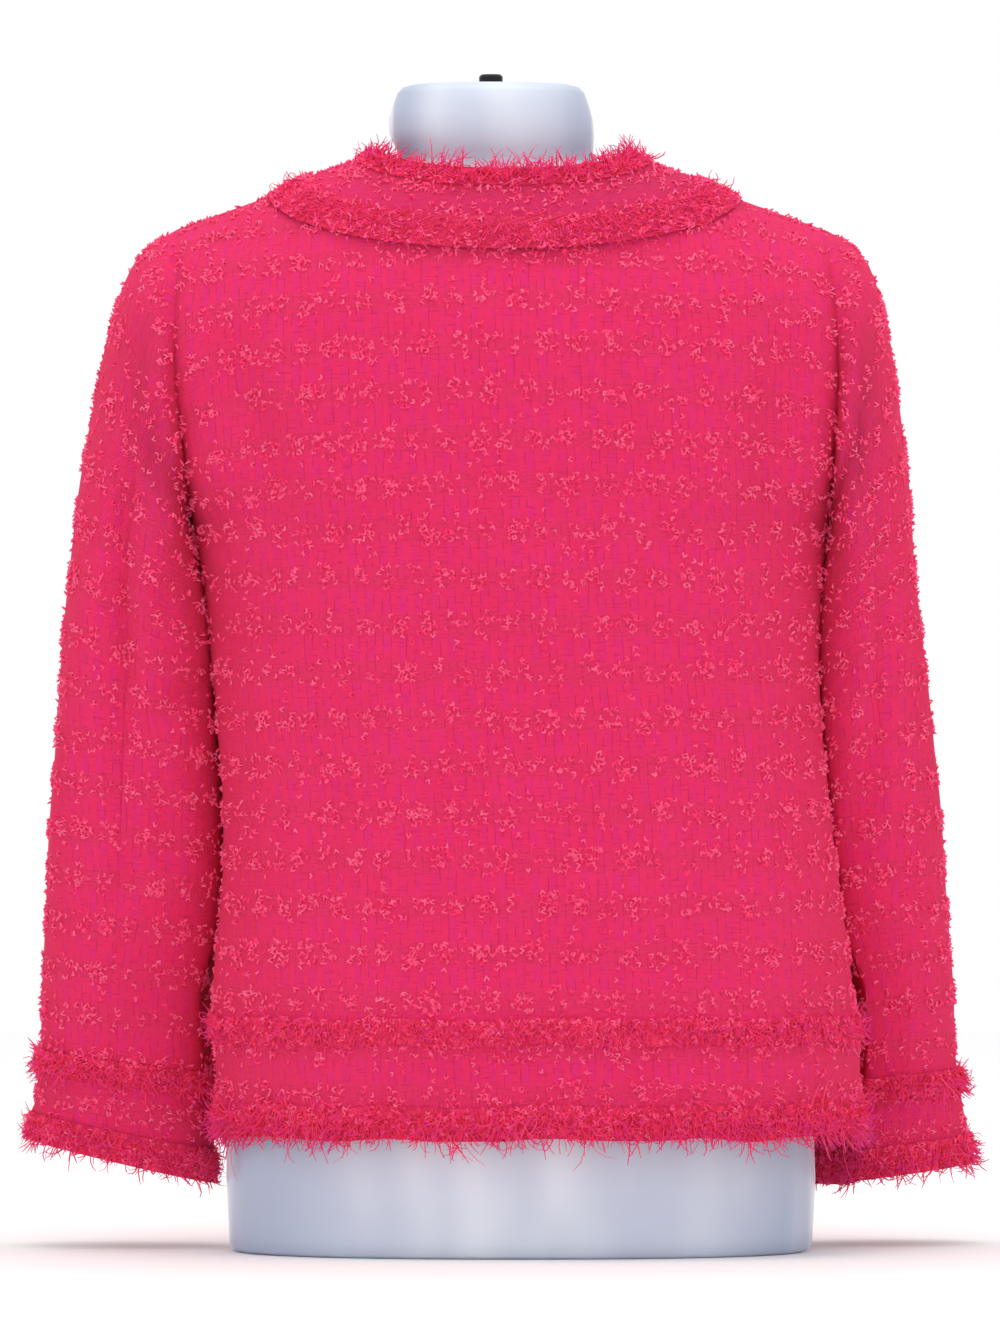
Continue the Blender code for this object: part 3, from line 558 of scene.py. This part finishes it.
# %% The collar as a grid
def collar_grid(low, high, columns=190, rows=10, lift=0.0012, drop=0.0):
    """Cloth laid round the neck between two reaches, 0 at the neckline and 1 at the collar's edge."""
    turn = np.radians(np.linspace(-90, 270, columns))
    reach = np.linspace(high, low, rows)[:, None]
    turn = turn[None, :]
    back = np.broadcast_to(np.sin(turn) >= 0, (rows, columns))
    half = NECK_HALF + reach * COLLAR_SIDE
    x = NECK_X + half * np.cos(turn)
    edge = ridge_z(NECK_X + np.copysign(half, np.cos(turn)))
    lowest = np.where(back, NAPE_Z - reach * COLLAR_BACK, THROAT_Z - reach * COLLAR_FRONT)
    z = edge - (edge - lowest) * np.abs(np.sin(turn))
    y = body_y(x, np.minimum(z, ridge_z(x) - 1e-7), back)
    points = np.stack([x, y, z], axis=-1)
    gap = np.exp(-np.arange(columns) / 2.0) * OPENING / 2
    points[:, :, 0] += gap - gap[::-1]
    outward = points - np.array([0, 0, 0.40])
    down = np.gradient(points, axis=0)
    across = np.gradient(points, axis=1)
    normals = np.cross(across, down)
    normals /= np.maximum(np.linalg.norm(normals, axis=2, keepdims=True), 1e-12)
    normals *= np.sign((normals * outward).sum(axis=2).mean())
    fall = drop * np.clip((reach - 1) / 0.3, 0, 1)
    points = points + normals * (lift - fall)[..., None]
    u, v = run_lengths(points, 1), run_lengths(points, 0)
    return Cloth(points, normals, np.stack([u + 0.0045, v + 0.012], axis=-1))


print(f"collar edge {2000 * (NECK_HALF + COLLAR_SIDE):.0f} mm across")

# %% [markdown]
# ## Materials
# Tweed is many yarns of several colours. An image of it would blur when seen close, so nodes work out
# each colour. The helpers below add one node each and hand on its output, so that a material reads like
# a short sum. Colours are written as they look on screen and turned to linear light.


# %% Node helpers
def colour(code):
    """Linear red, green, blue and alpha from a code of six letters."""
    parts = [int(code[k : k + 2], 16) / 255 for k in (0, 2, 4)]
    return (*[p / 12.92 if p <= 0.04045 else ((p + 0.055) / 1.055) ** 2.4 for p in parts], 1.0)


class Nodes:
    """A small writer for node trees: each call adds a node and gives its first output."""

    def __init__(self, name, roughness, sheen=0.0, glow=0.0):
        self.material = bpy.data.materials.new(name)
        self.material.use_nodes = True
        self.tree = self.material.node_tree
        self.shader = self.tree.nodes["Principled BSDF"]
        self.shader.inputs["Roughness"].default_value = roughness
        self.shader.inputs["Sheen Weight"].default_value = sheen
        self.shader.inputs["Sheen Roughness"].default_value = 0.5
        self.shader.inputs["Emission Strength"].default_value = glow
        self.shader.inputs["Specular IOR Level"].default_value = 0.10
        self.glow = glow

    def put(self, socket, value):
        if isinstance(value, bpy.types.NodeSocket):
            self.tree.links.new(value, socket)
        else:
            socket.default_value = value

    def math(self, operation, a, b=0.0):
        node = self.tree.nodes.new("ShaderNodeMath")
        node.operation = operation
        self.put(node.inputs[0], a)
        self.put(node.inputs[1], b)
        return node.outputs[0]

    def times(self, a, b):
        return self.math("MULTIPLY", a, b)

    def span(self, value, low, high, to_low=0.0, to_high=1.0):
        node = self.tree.nodes.new("ShaderNodeMapRange")
        node.interpolation_type = "SMOOTHSTEP"
        ends = (("From Min", low), ("From Max", high), ("To Min", to_low), ("To Max", to_high))
        for key, number in ends:
            node.inputs[key].default_value = number
        self.put(node.inputs["Value"], value)
        return node.outputs[0]

    def mix(self, share, a, b):
        node = self.tree.nodes.new("ShaderNodeMix")
        node.data_type = "RGBA"
        self.put(node.inputs[0], share)
        self.put(node.inputs[6], a)
        self.put(node.inputs[7], b)
        return node.outputs[2]

    def number(self, name):
        node = self.tree.nodes.new("ShaderNodeAttribute")
        node.attribute_name = name
        return node.outputs["Fac"]

    def cut(self):
        uv = self.tree.nodes.new("ShaderNodeUVMap")
        uv.uv_map = "cut"
        parts = self.tree.nodes.new("ShaderNodeSeparateXYZ")
        self.tree.links.new(uv.outputs[0], parts.inputs[0])
        return uv.outputs[0], parts.outputs[0], parts.outputs[1]

    def place(self, output="Object"):
        node = self.tree.nodes.new("ShaderNodeTexCoord")
        return node.outputs[output]

    def parts(self, vector):
        node = self.tree.nodes.new("ShaderNodeSeparateXYZ")
        self.tree.links.new(vector, node.inputs[0])
        return node.outputs

    def stretched(self, vector, x, y, z=1.0):
        node = self.tree.nodes.new("ShaderNodeVectorMath")
        node.operation = "MULTIPLY"
        self.tree.links.new(vector, node.inputs[0])
        node.inputs[1].default_value = (x, y, z)
        return node.outputs[0]

    def noise(self, vector, scale, detail=2.0):
        node = self.tree.nodes.new("ShaderNodeTexNoise")
        self.tree.links.new(vector, node.inputs["Vector"])
        node.inputs["Scale"].default_value = scale
        node.inputs["Detail"].default_value = detail
        return node.outputs["Fac"]

    def bump(self, height, distance, strength=1.0):
        node = self.tree.nodes.new("ShaderNodeBump")
        node.inputs["Distance"].default_value = distance
        node.inputs["Strength"].default_value = strength
        self.tree.links.new(height, node.inputs["Height"])
        self.tree.links.new(node.outputs[0], self.shader.inputs["Normal"])

    def done(self, base):
        self.put(self.shader.inputs["Base Color"], base)
        if self.glow:
            self.put(self.shader.inputs["Emission Color"], base)
        return self.material


# %% [markdown]
# ### Tweed
# The cloth has warp stripes of magenta pink and red pink, 9 mm from pair to pair, with thin dark dashes
# between them. Noise along the cut makes the stripes wander as handspun yarn does. Sines make the plain
# weave's bumps and its pits, and the pits are darkened with painted shade. The rows that carry loops are a
# little lighter, partly from specks of loop yarn and partly from painted light that offsets the loops'
# shadows. Cloth that faces sideways is darker and redder: painted shade where it turns from the light.

# %% Tweed, loops and threads
STRIPE, ROW, WEAVE = 0.0090, 0.0255, 0.0013


def make_tweed():
    """Stripes, slubs, cloudy patches, dashes, specks and pits, one over another, with painted shade in the
    pits and on cloth that faces sideways, and painted light in the rows of loops.
    """
    n = Nodes("tweed", 0.9, sheen=0.04)
    cut, u, v = n.cut()
    wobble = n.times(n.math("SUBTRACT", n.noise(n.stretched(cut, 110, 60), 1.0), 0.5), 0.0030)
    across = n.math("FRACT", n.math("DIVIDE", n.math("ADD", u, wobble), STRIPE))
    wave = n.math("SINE", n.times(across, 2 * math.pi))
    along = n.math("FRACT", n.math("DIVIDE", n.math("ADD", v, wobble), ROW))
    band = n.span(n.math("ABSOLUTE", n.math("SUBTRACT", along, 0.5)), 0.16, 0.34, 1.0, 0.0)
    stripe = n.span(wave, -0.5, 0.5, 1.0, 0.0)
    patch = n.span(n.noise(n.stretched(cut, 130, 60), 1.0, 2.0), 0.34, 0.52)
    magenta = n.times(n.times(stripe, patch), n.math("SUBTRACT", 1.0, band))
    base = n.mix(n.times(magenta, 0.75), colour("FF346E"), colour("F63086"))
    slub = n.span(n.noise(n.stretched(cut, 1000, 140), 1.0, 2.0), 0.40, 0.62)
    base = n.mix(n.times(slub, 0.35), base, colour("FF3C78"))
    cloud = n.span(n.noise(n.stretched(cut, 22, 22), 1.0, 3.0), 0.3, 0.7)
    base = n.mix(n.times(cloud, 0.25), base, colour("F42E5E"))
    line = n.span(n.math("ABSOLUTE", wave), 0.0, 0.28, 1.0, 0.0)
    dashes = n.span(n.noise(n.stretched(cut, 260, 150), 1.0, 2.0), 0.47, 0.58)
    base = n.mix(n.times(n.times(line, dashes), 0.72), base, colour("C82450"))
    weft = n.span(n.noise(n.stretched(cut, 120, 900), 1.0, 2.0), 0.56, 0.68)
    base = n.mix(n.times(weft, 0.35), base, colour("C42050"))
    specks = n.span(n.noise(n.stretched(cut, 620, 620), 1.0, 2.0), 0.50, 0.62)
    # Partly specks of loop yarn, partly painted light: the rows of loops are lightened to offset the
    # shadows the loops cast.
    lighter = n.times(band, n.math("ADD", n.times(specks, 0.30), 0.06))
    base = n.mix(lighter, base, colour("FF4A88"))
    warp = n.math("SINE", n.times(u, 2 * math.pi / WEAVE))
    weft_wave = n.math("SINE", n.times(v, 2 * math.pi / WEAVE))
    threads = n.times(warp, weft_wave)
    # Painted shade in the weave's pits: they are mixed toward a dark red, B81A48.
    pits = n.span(threads, -1.0, -0.3, 1.0, 0.0)
    base = n.mix(n.times(pits, 0.45), base, colour("B81A48"))
    rough = n.noise(n.stretched(cut, 620, 620), 1.0, 3.0)
    height = n.math("ADD", n.times(threads, 0.30), n.times(rough, 1.2))
    height = n.math("SUBTRACT", height, n.times(n.times(line, dashes), 0.22))
    height = n.math("ADD", height, n.times(n.times(band, specks), 0.5))
    n.bump(height, 0.0010, 0.9)
    # Painted shade: cloth whose normal faces sideways is mixed toward a darker red, E4244C.
    turned = n.span(n.math("ABSOLUTE", n.parts(n.place("Normal"))[0]), 0.30, 1.0)
    return n.done(n.mix(n.times(turned, 0.45), base, colour("E4244C")))


def make_loops():
    """Boucle yarn in three close pinks. A faint glow stands for light that passes through the hairs."""
    n = Nodes("loop_yarn", 0.8, sheen=0.05, glow=0.10)
    tint = n.number("tint")
    base = n.mix(n.span(tint, 0.0, 0.75), colour("FF3A76"), colour("FF5C8C"))
    return n.done(n.mix(n.span(tint, 0.82, 1.0), base, colour("FF7099")))


def make_threads(name, root, red, tip):
    """Cut threads: painted shade makes them dark between their roots, red along them, more magenta at some
    of the tips; a faint glow adds painted light.
    """
    # The glow is painted light that lifts the threads out of their own shade.
    n = Nodes(name, 0.85, sheen=0.05, glow=0.07)
    tint, along = n.number("tint"), n.number("along")
    # Painted shade: each thread is darker toward its root.
    base = n.mix(n.span(along, 0.0, 0.30), colour(root), colour(red))
    ends = n.times(n.span(along, 0.35, 0.9), n.span(tint, 0.25, 0.5))
    base = n.mix(ends, base, colour(tip))
    return n.done(n.mix(n.times(n.span(tint, 0.84, 0.9), 0.6), base, colour("FF5C8A")))


def make_band():
    """The lumpy ground of a fringe, seen between its threads, darker in the hollows of its lumps as painted
    shade.
    """
    n = Nodes("fringe_base", 0.95)
    cut, _, _ = n.cut()
    lumps = n.noise(n.stretched(cut, 450, 160), 1.0, 3.0)
    n.bump(lumps, 0.002, 1.0)
    # Painted shade: the low parts of the lumps, which the bump sinks, are mixed toward a darker red.
    return n.done(n.mix(n.span(lumps, 0.35, 0.65), colour("CE2852"), colour("F03C68")))


tweed = make_tweed()
loops = make_loops()
# E02A50 is the painted shade at the threads' roots.
thread = make_threads("fringe_yarn", "E02A50", "FA3A66", "E6348C")
band = make_band()
print("materials:", len(bpy.data.materials))

# %% [markdown]
# ## Panels, sleeves and collar
# A maker would sew these nine pieces together; here each is one thin shell that fills the place of its
# solid. The solid stays in the frame to collide, and the shell is what is seen. The collar lies over the
# panels.

# %% Shells of the cloth
cloths = {}


def dress(name, cloth):
    """One piece of tweed in the place of the solid of that name."""
    cloths[name] = cloth
    obj = shell(f"{name}_cloth", cloth, CLOTH, tweed)
    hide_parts(name)


for side in ("right", "left"):
    dress(f"back_{side}", body_grid(side, True))
    dress(f"front_{side}", body_grid(side, False))
    dress(f"upper_sleeve_{side}", sleeve_grid(side, HIND_SEAM, FORE_SEAM, columns=32))
    dress(f"under_sleeve_{side}", sleeve_grid(side, FORE_SEAM, HIND_SEAM + 2 * math.pi))
dress("collar", collar_grid(0.0, 1.0, lift=0.0034))

# %% [markdown]
# ## Loops of light yarn
# The weft throws up a row of small boucle loops about every 25 mm, gathered in clusters. Geometry nodes
# or a particle system could scatter them. Arrays do it in a second and give the same loops each run. One
# loop is a small arch of yarn of 14 triangles that leans over, and it is copied to each place.


# %% Scatter the loops
CLUSTER = 0.0165  # from one cluster to the next along a row
LOOP_SPAN, LOOP_HEIGHT, LOOP_YARN = (0.0022, 0.0036), (0.0019, 0.0031), (0.00052, 0.00076)


def arch():
    """A small loop of yarn: three three-sided rings from foot to foot, along x, rising in z."""
    marks = ((-0.40, 0.0, 0.7, 0.5), (0.0, 0.85, 0.0, 1.0), (0.40, 0.0, -0.7, 0.5))
    rings = []
    for x, lift, way_x, way_z in marks:
        for k in range(3):
            turn = 2 * math.pi * k / 3
            rings.append((x, lift, -way_x * math.cos(turn), math.sin(turn), way_z * math.cos(turn)))
    faces = [(0, 2, 1), (6, 7, 8)]
    for k in range(3):
        m = (k + 1) % 3
        for r in (0, 3):
            faces += [(r + k, r + m, r + m + 3), (r + k, r + m + 3, r + k + 3)]
    return np.array(rings), np.array(faces)


def spread(a, b):
    """A fixed random number for each pair of whole numbers."""
    return np.mod(np.sin(a * 12.9898 + b * 78.233) * 43758.5453, 1.0)


def sample(cloth, row, column):
    """Points, normals and cut places between the grid's points."""
    rows, columns = cloth.points.shape[:2]
    r = np.clip(row, 0, rows - 1.001)
    c = np.clip(column, 0, columns - 1.001)
    i, j = r.astype(int), c.astype(int)
    fr, fc = (r - i)[:, None], (c - j)[:, None]
    found = []
    for grid in cloth:
        top = grid[i, j] * (1 - fc) + grid[i, j + 1] * fc
        low = grid[i + 1, j] * (1 - fc) + grid[i + 1, j + 1] * fc
        found.append(top * (1 - fr) + low * fr)
    return found


def loop_chance(u, v):
    """How likely a loop is at a place of the cut."""
    row = np.floor(v / ROW)
    slant = spread(row, 5.0) * CLUSTER
    spot = np.floor((u + slant) / CLUSTER)
    du = (u + slant) / CLUSTER - spot - 0.5 - 0.25 * (spread(row, spot) - 0.5)
    dv = v / ROW - row - 0.5 - 0.16 * (spread(spot, row + 3) - 0.5)
    strength = 0.35 + 0.65 * spread(spot + 9, row)
    bell = np.exp(-((du / 0.33) ** 4)) * np.exp(-((dv / 0.24) ** 4))
    return np.clip(bell * strength, 0, 1)


def scatter_loops(name, cloth, per_square_metre=178000, margin=0.4, even=0.04):
    """Loops all over a cloth; even is the chance of a loop away from the clusters."""
    cells = corner_areas(cloth)
    tries = int(cells.sum() * per_square_metre)
    pick = rng.choice(cells.size, size=tries, p=(cells / cells.sum()).ravel())
    row = pick // cells.shape[1] + rng.random(tries)
    column = pick % cells.shape[1] + rng.random(tries)
    point, normal, cut = sample(cloth, row, column)
    keep = rng.random(tries) < loop_chance(cut[:, 0], cut[:, 1]) + even
    keep &= np.minimum(row, cloth.points.shape[0] - 1 - row) > margin
    point, normal = point[keep], normal[keep]
    count = len(point)
    normal /= np.linalg.norm(normal, axis=1, keepdims=True)
    along = np.cross(normal, rng.normal(size=(count, 3)))
    along /= np.linalg.norm(along, axis=1, keepdims=True)
    flat = np.cross(normal, along)
    lean = rng.uniform(0.5, 1.35, (count, 1))
    up = normal * np.cos(lean) + flat * np.sin(lean)
    beside = np.cross(along, up)
    unit, faces = arch()
    size = rng.uniform(*LOOP_SPAN, (count, 1, 1))
    high = rng.uniform(*LOOP_HEIGHT, (count, 1, 1))
    yarn = rng.uniform(*LOOP_YARN, (count, 1, 1))
    x = (unit[None, :, 0:1] * size + unit[None, :, 2:3] * yarn) * along[:, None]
    y = unit[None, :, 3:4] * yarn * beside[:, None]
    z = (unit[None, :, 1:2] * high + unit[None, :, 4:5] * yarn) * up[:, None]
    vertices = (point - normal * 0.0002)[:, None] + x + y + z
    shifts = (np.arange(count) * len(unit))[:, None, None]
    tint = np.repeat(rng.random(count), len(unit))
    faces = (faces[None] + shifts).reshape(-1, 3)
    obj = new_mesh(f"{name}_loops", vertices.reshape(-1, 3), faces, loops, {"tint": tint})
    print(f"{obj.name}: {count} loops, {len(faces)} triangles")
    return obj


for name, cloth in cloths.items():
    scatter_loops(name, cloth, even=0.16 if name == "collar" else 0.04)

# %% [markdown]
# ## Fringe
# The real trim is a narrow strip of the same tweed with its edge frayed into threads. Hair curves would
# draw it, but threads of mesh have a true size and can be counted. So a soft base band is made first,
# and threads are set all over it. They grow in clumps, curl, and end past its lower edge at uneven
# lengths.


# %% Threads
BACKWARD = 0.16  # share of the threads that point up the band instead of down
CLUMPING = 0.8  # how much a clump changes the length of its threads


def grow_threads(name, cloth, count, reach, start, lift, spray, curl, ring=False, thick=0.00034):
    """Threads along a grid whose rows run from the tip side (0) to the base side (last)."""
    rows, columns = cloth.points.shape[:2]
    last = columns if ring else columns - 1
    around = rng.random(count) * last
    from_tip = start[0] + (start[1] - start[0]) * rng.random(count) ** 0.8
    grid = cloth
    if ring:
        grid = Cloth(*[np.concatenate([g, g[:, :1]], axis=1) for g in cloth])
    point, normal, _ = sample(grid, from_tip * (rows - 1), around)
    ahead, _, _ = sample(grid, from_tip * (rows - 1) - 1.0, around)
    behind, _, _ = sample(grid, from_tip * (rows - 1) + 1.0, around)
    down = ahead - behind
    down /= np.maximum(np.linalg.norm(down, axis=1, keepdims=True), 1e-9)
    normal /= np.linalg.norm(normal, axis=1, keepdims=True)
    across = np.cross(normal, down)
    out = rng.uniform(spray[0], spray[1], (count, 1))
    lean = rng.normal(0, spray[2], (count, 1))
    back = np.where(rng.random((count, 1)) < BACKWARD, -0.8, 1.0)
    heading = down * back + normal * out + across * lean
    heading /= np.linalg.norm(heading, axis=1, keepdims=True)
    clump = spread(np.floor(around * 0.6), 2.0) - 0.5
    length = rng.uniform(reach[0], reach[1], count) * (1 + CLUMPING * clump)
    steps = 4
    bend = np.abs(rng.normal(0, curl, (count, 1))) + 0.2
    aside = rng.normal(size=(count, 1)) * across + rng.uniform(-0.6, 1.0, (count, 1)) * normal
    aside -= heading * (aside * heading).sum(axis=1, keepdims=True)
    aside /= np.maximum(np.linalg.norm(aside, axis=1, keepdims=True), 1e-9)
    path = []
    for k in range(steps):
        turn = bend * k / (steps - 1)
        arc = heading * np.sin(turn) + aside * (1 - np.cos(turn))
        path.append(point + normal * lift + arc / bend * length[:, None])
    path = np.stack(path, axis=1)
    ahead = np.gradient(path, axis=1)
    ahead /= np.maximum(np.linalg.norm(ahead, axis=2, keepdims=True), 1e-9)
    one = np.cross(ahead, normal[:, None] + across[:, None] * 0.3)
    one /= np.maximum(np.linalg.norm(one, axis=2, keepdims=True), 1e-9)
    two = np.cross(ahead, one)
    radius = thick * rng.uniform(0.7, 1.3, count)
    taper = np.array([0.95, 1.0, 0.9, 0.5])
    vertices = []
    for k in range(3):
        turn = 2 * math.pi * k / 3
        size = (radius[:, None] * taper[None, :])[..., None]
        vertices.append(path + size * (one * math.cos(turn) + two * math.sin(turn)))
    vertices = np.stack(vertices, axis=2)
    unit = np.arange(steps * 3).reshape(steps, 3)
    faces = []
    for s in range(steps - 1):
        for k in range(3):
            m = (k + 1) % 3
            here, near, next_near, up = unit[s, k], unit[s, m], unit[s + 1, m], unit[s + 1, k]
            faces += [(here, near, next_near), (here, next_near, up)]
    faces += [(unit[0, 2], unit[0, 1], unit[0, 0]), (unit[-1, 0], unit[-1, 1], unit[-1, 2])]
    shifts = (np.arange(count) * steps * 3)[:, None, None]
    faces = (np.array(faces)[None] + shifts).reshape(-1, 3)
    along = np.tile(np.repeat(np.linspace(0, 1, steps), 3), count)
    tint = np.repeat(0.55 * rng.random(count) + 0.45 * (clump + 0.5), steps * 3)
    obj = new_mesh(name, vertices.reshape(-1, 3), faces, thread, {"along": along, "tint": tint})
    print(f"{name}: {count} threads, {len(faces)} triangles")
    return obj


# %% [markdown]
# ### Where the fringes lie
# Two rows go round the hem, two round each cuff, and one along each edge of the collar. The hem's grid
# goes once round the body, the cuff's once round the sleeve, and the collar's once round the neck. Each
# is worked out from the cloth below it, folds included, so a row never sinks into the tweed. The
# neckline's row stands up, so its grid is turned over.


# %% Fringe rows
def body_round(low, high, rows=7):
    """The torso surface from height high down to low, from the right front edge round to the left one."""
    quarter = np.linspace(0, 1, 52)
    strips = []
    z = np.linspace(low, high, rows)[:, None]
    quarters = (("right", False), ("right", True), ("left", True), ("left", False))
    for side, back in quarters:
        forward = back == (side == "left")
        share = quarter if forward else quarter[::-1]
        share = share if not strips else share[1:]
        wide = np.broadcast_to(share, (rows, len(share)))
        tall = np.broadcast_to(z, wide.shape)
        x = panel_x(side, wide, tall)
        points = np.stack([x, body_y(x, tall, back), tall], axis=-1)
        outward = grid_normals(points, np.array([0, 1 if back else -1, 0.3]))
        strips.append(points + outward * body_height(x, tall, back)[..., None])
    points = np.concatenate(strips, axis=1)
    gap = np.exp(-np.arange(points.shape[1]) / 2.0) * OPENING / 2
    points[:, :, 0] += gap - gap[::-1]
    points[:, :, 2] += 0.0022 * ripple(run_lengths(points, 1), 0 * points[:, :, 0], 31, 0.05)
    outward = points - np.array([-0.018, 0, 0])
    outward[..., 2] = 0
    normals = np.cross(np.gradient(points, axis=1), np.gradient(points, axis=0))
    normals /= np.maximum(np.linalg.norm(normals, axis=2, keepdims=True), 1e-12)
    normals *= np.sign((normals * outward).sum(axis=2).mean())
    return Cloth(points, normals, np.stack([run_lengths(points, 1), run_lengths(points, 0)], axis=-1))


def trim_row(name, grid, count, reach, start, lift, spray, curl, ring=False, thick=0.0011):
    """A base band with its threads and loops, in the place of the plain solid of the row."""
    base = shell(f"{name}_band", grid, thick, band, ring=ring, lift=lift + thick)
    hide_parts(name)
    hair = grow_threads(f"{name}_threads", grid, count, reach, start, lift + thick * 0.8, spray, curl, ring)
    face = Cloth(grid.points + grid.normals * (lift + thick), grid.normals, grid.cut)
    curls = scatter_loops(name, face, even=0.24, margin=0)
    return base


trim_row(
    "hem_fringe_upper", body_round(0.1160, 0.1300), 3300,
    reach=(0.004, 0.009), start=(0.05, 1.0), lift=0.0002, spray=(0.2, 0.8, 0.8), curl=1.9,
)
trim_row(
    "hem_fringe_lower", body_round(0.0650, 0.0830), 4600,
    reach=(0.006, 0.014), start=(0.0, 0.95), lift=0.0002, spray=(0.1, 0.7, 0.6), curl=1.4,
)
grow_threads(
    "hem_stray_threads", body_round(0.0630, 0.0830), 26,
    reach=(0.012, 0.024), start=(0.0, 0.3), lift=0.0008, spray=(0.0, 0.25, 0.35), curl=1.3, thick=0.00022,
)

CUFF_ROWS = (("upper", 0.049, 0.036), ("lower", 0.010, -0.007))  # metres up from the cuff's edge
for side in ("right", "left"):
    marks, metres = arm_spacing(side)
    past = (metres[-1] - metres[-11]) * PAST_CUFF
    for level, high, low in CUFF_ROWS:
        near = metres[-1] - low
        top = float(np.interp(metres[-1] - high, metres, marks))
        tip = 12 + (near - metres[-1]) / past if low < 0 else float(np.interp(near, metres, marks))
        grid = sleeve_grid(side, 0.0, 2 * math.pi, columns=72, rows=7, low=top, high=tip, ring=True)
        trim_row(
            f"cuff_fringe_{level}_{side}", Cloth(*[g[::-1] for g in grid]), 1150,
            reach=(0.005, 0.011), start=(0.0, 0.95), lift=0.0004, spray=(0.2, 0.9, 0.7), curl=1.8,
            ring=True,
        )
trim_row(
    "collar_fringe", collar_grid(0.84, 1.38, lift=0.0036, drop=0.0024), 2500,
    reach=(0.004, 0.0085), start=(0.0, 0.9), lift=0.0, spray=(0.05, 0.55, 0.8), curl=1.9,
)
upright = collar_grid(-0.04, 0.26, lift=0.0036)
trim_row(
    "neck_fringe", Cloth(*[g[::-1] for g in upright]), 1900,
    reach=(0.006, 0.012), start=(0.0, 0.95), lift=0.0, spray=(0.3, 1.0, 0.8), curl=1.8,
)

# %% [markdown]
# ## The form
# The jacket hangs on a limbless form of frosted plastic, bluish grey. A clear material would show the
# inside of the solid, so the look is painted: paler and bluer by place, with painted shade on the sides
# where the wall turns away and a painted highlight along its very edge. The CAD solid is faceted, and a
# Bevel node evens the facets out in the shading without moving the solid. The small dark boss at the top
# is the end of its stand.

# %% Form and plug
def make_form():
    """Misty plastic with painted shade on its sides as they turn away, and a painted highlight line at the
    very edge.
    """
    n = Nodes("form_plastic", 0.35)
    n.shader.inputs["Specular IOR Level"].default_value = 0.4
    where = n.place("Object")
    x, _, z = n.parts(where)[:3]
    half = n.span(z, 0.570, 0.605, 0.1630, 0.0560)
    centre = n.span(z, 0.10, 0.60, -0.0115, 0.0040)
    across = n.math("DIVIDE", n.math("SUBTRACT", x, centre), half)
    even = n.tree.nodes.new("ShaderNodeBevel")
    even.samples = 8
    even.inputs["Radius"].default_value = 0.016
    n.tree.links.new(even.outputs["Normal"], n.shader.inputs["Normal"])
    away = n.math("ABSOLUTE", across)
    mist = n.span(n.noise(n.stretched(where, 14, 14, 5), 1.0, 2.0), 0.35, 0.7)
    base = n.mix(mist, colour("C4CCDE"), colour("E2E7F1"))
    # Painted shade: the sides, as they turn away, are mixed toward a darker blue grey.
    base = n.mix(n.times(n.span(away, 0.50, 0.90), 0.65), base, colour("9CA8C2"))
    # Painted highlight: a pale line along the very edge of the form.
    return n.done(n.mix(n.span(away, 0.955, 1.0), base, colour("E8EDF7")))


def make_plug():
    """Dark smooth plastic."""
    n = Nodes("plug_dark", 0.4)
    return n.done(colour("26262B"))


for name, material in (("dress_form", make_form()), ("neck_plug", make_plug())):
    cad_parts[name].material_slots[0].material = material
    print(name, "is", material.name)

# %% [markdown]
# ## Studio
# A garment is shown best in even light that leaves soft shadows only in its hollows. So there are a pale
# floor, four large soft lights, a white surround, and a level camera that looks at the back. The camera
# stands far off with a narrow view, so that upright edges stay upright.

# %% Floor, lights, camera
FLOOR_RADIUS, FLOOR_Z = 3.6, -0.0002
FRAME_HEIGHT, CAMERA_AWAY, CAMERA_Z = 0.7332, 6.0, 0.321


def floor():
    """A wide flat disc under the part, so that every side can be looked at."""
    turns = np.linspace(0, 2 * math.pi, 97)[:-1]
    rim = [(FLOOR_RADIUS * math.cos(t), FLOOR_RADIUS * math.sin(t), FLOOR_Z) for t in turns]
    mesh = bpy.data.meshes.new("studio_floor")
    mesh.from_pydata(rim, [], [tuple(range(len(rim)))])
    mesh.materials.append(Nodes("studio_floor", 0.9).done(colour("FCFCFC")))
    obj = bpy.data.objects.new("studio_floor", mesh)
    bpy.context.scene.collection.objects.link(obj)


def area_light(name, place, aim, size, power):
    """A square soft light at a place, turned to shine at a point."""
    light = bpy.data.lights.new(name, "AREA")
    light.energy, light.size = power, size
    obj = bpy.data.objects.new(name, light)
    obj.location = place
    way = np.array(aim) - np.array(place)
    tilt = math.acos(way[2] / np.linalg.norm(way)) - math.pi
    obj.rotation_euler = (tilt, 0, math.atan2(way[1], way[0]) - math.pi / 2)
    bpy.context.scene.collection.objects.link(obj)


floor()
area_light("key", (1.3, 2.0, 1.5), (0, 0, 0.35), 1.4, 34)
area_light("front", (0.2, 3.4, 0.42), (0, 0, 0.26), 1.2, 98)
area_light("fill", (-1.6, 1.9, 0.9), (0, 0, 0.3), 1.8, 16)
area_light("top", (0.0, 0.2, 2.2), (0, 0, 0.3), 1.6, 12)
world = bpy.data.worlds.new("studio")
world.use_nodes = True
world.node_tree.nodes["Background"].inputs["Color"].default_value = (1.0, 1.0, 1.0, 1.0)
world.node_tree.nodes["Background"].inputs["Strength"].default_value = 1.0
bpy.context.scene.world = world
bpy.context.scene.view_settings.view_transform = "Standard"

camera = bpy.data.cameras.new("camera")
camera.sensor_fit = "VERTICAL"
camera.angle = 2 * math.atan(FRAME_HEIGHT / 2 / CAMERA_AWAY)
eye = bpy.data.objects.new("camera", camera)
eye.location = (0.0, CAMERA_AWAY, CAMERA_Z)
eye.rotation_euler = (math.pi / 2, 0, math.pi)
bpy.context.scene.collection.objects.link(eye)
bpy.context.scene.camera = eye
print(f"camera {CAMERA_AWAY} m away, {math.degrees(camera.angle):.1f} degrees high")
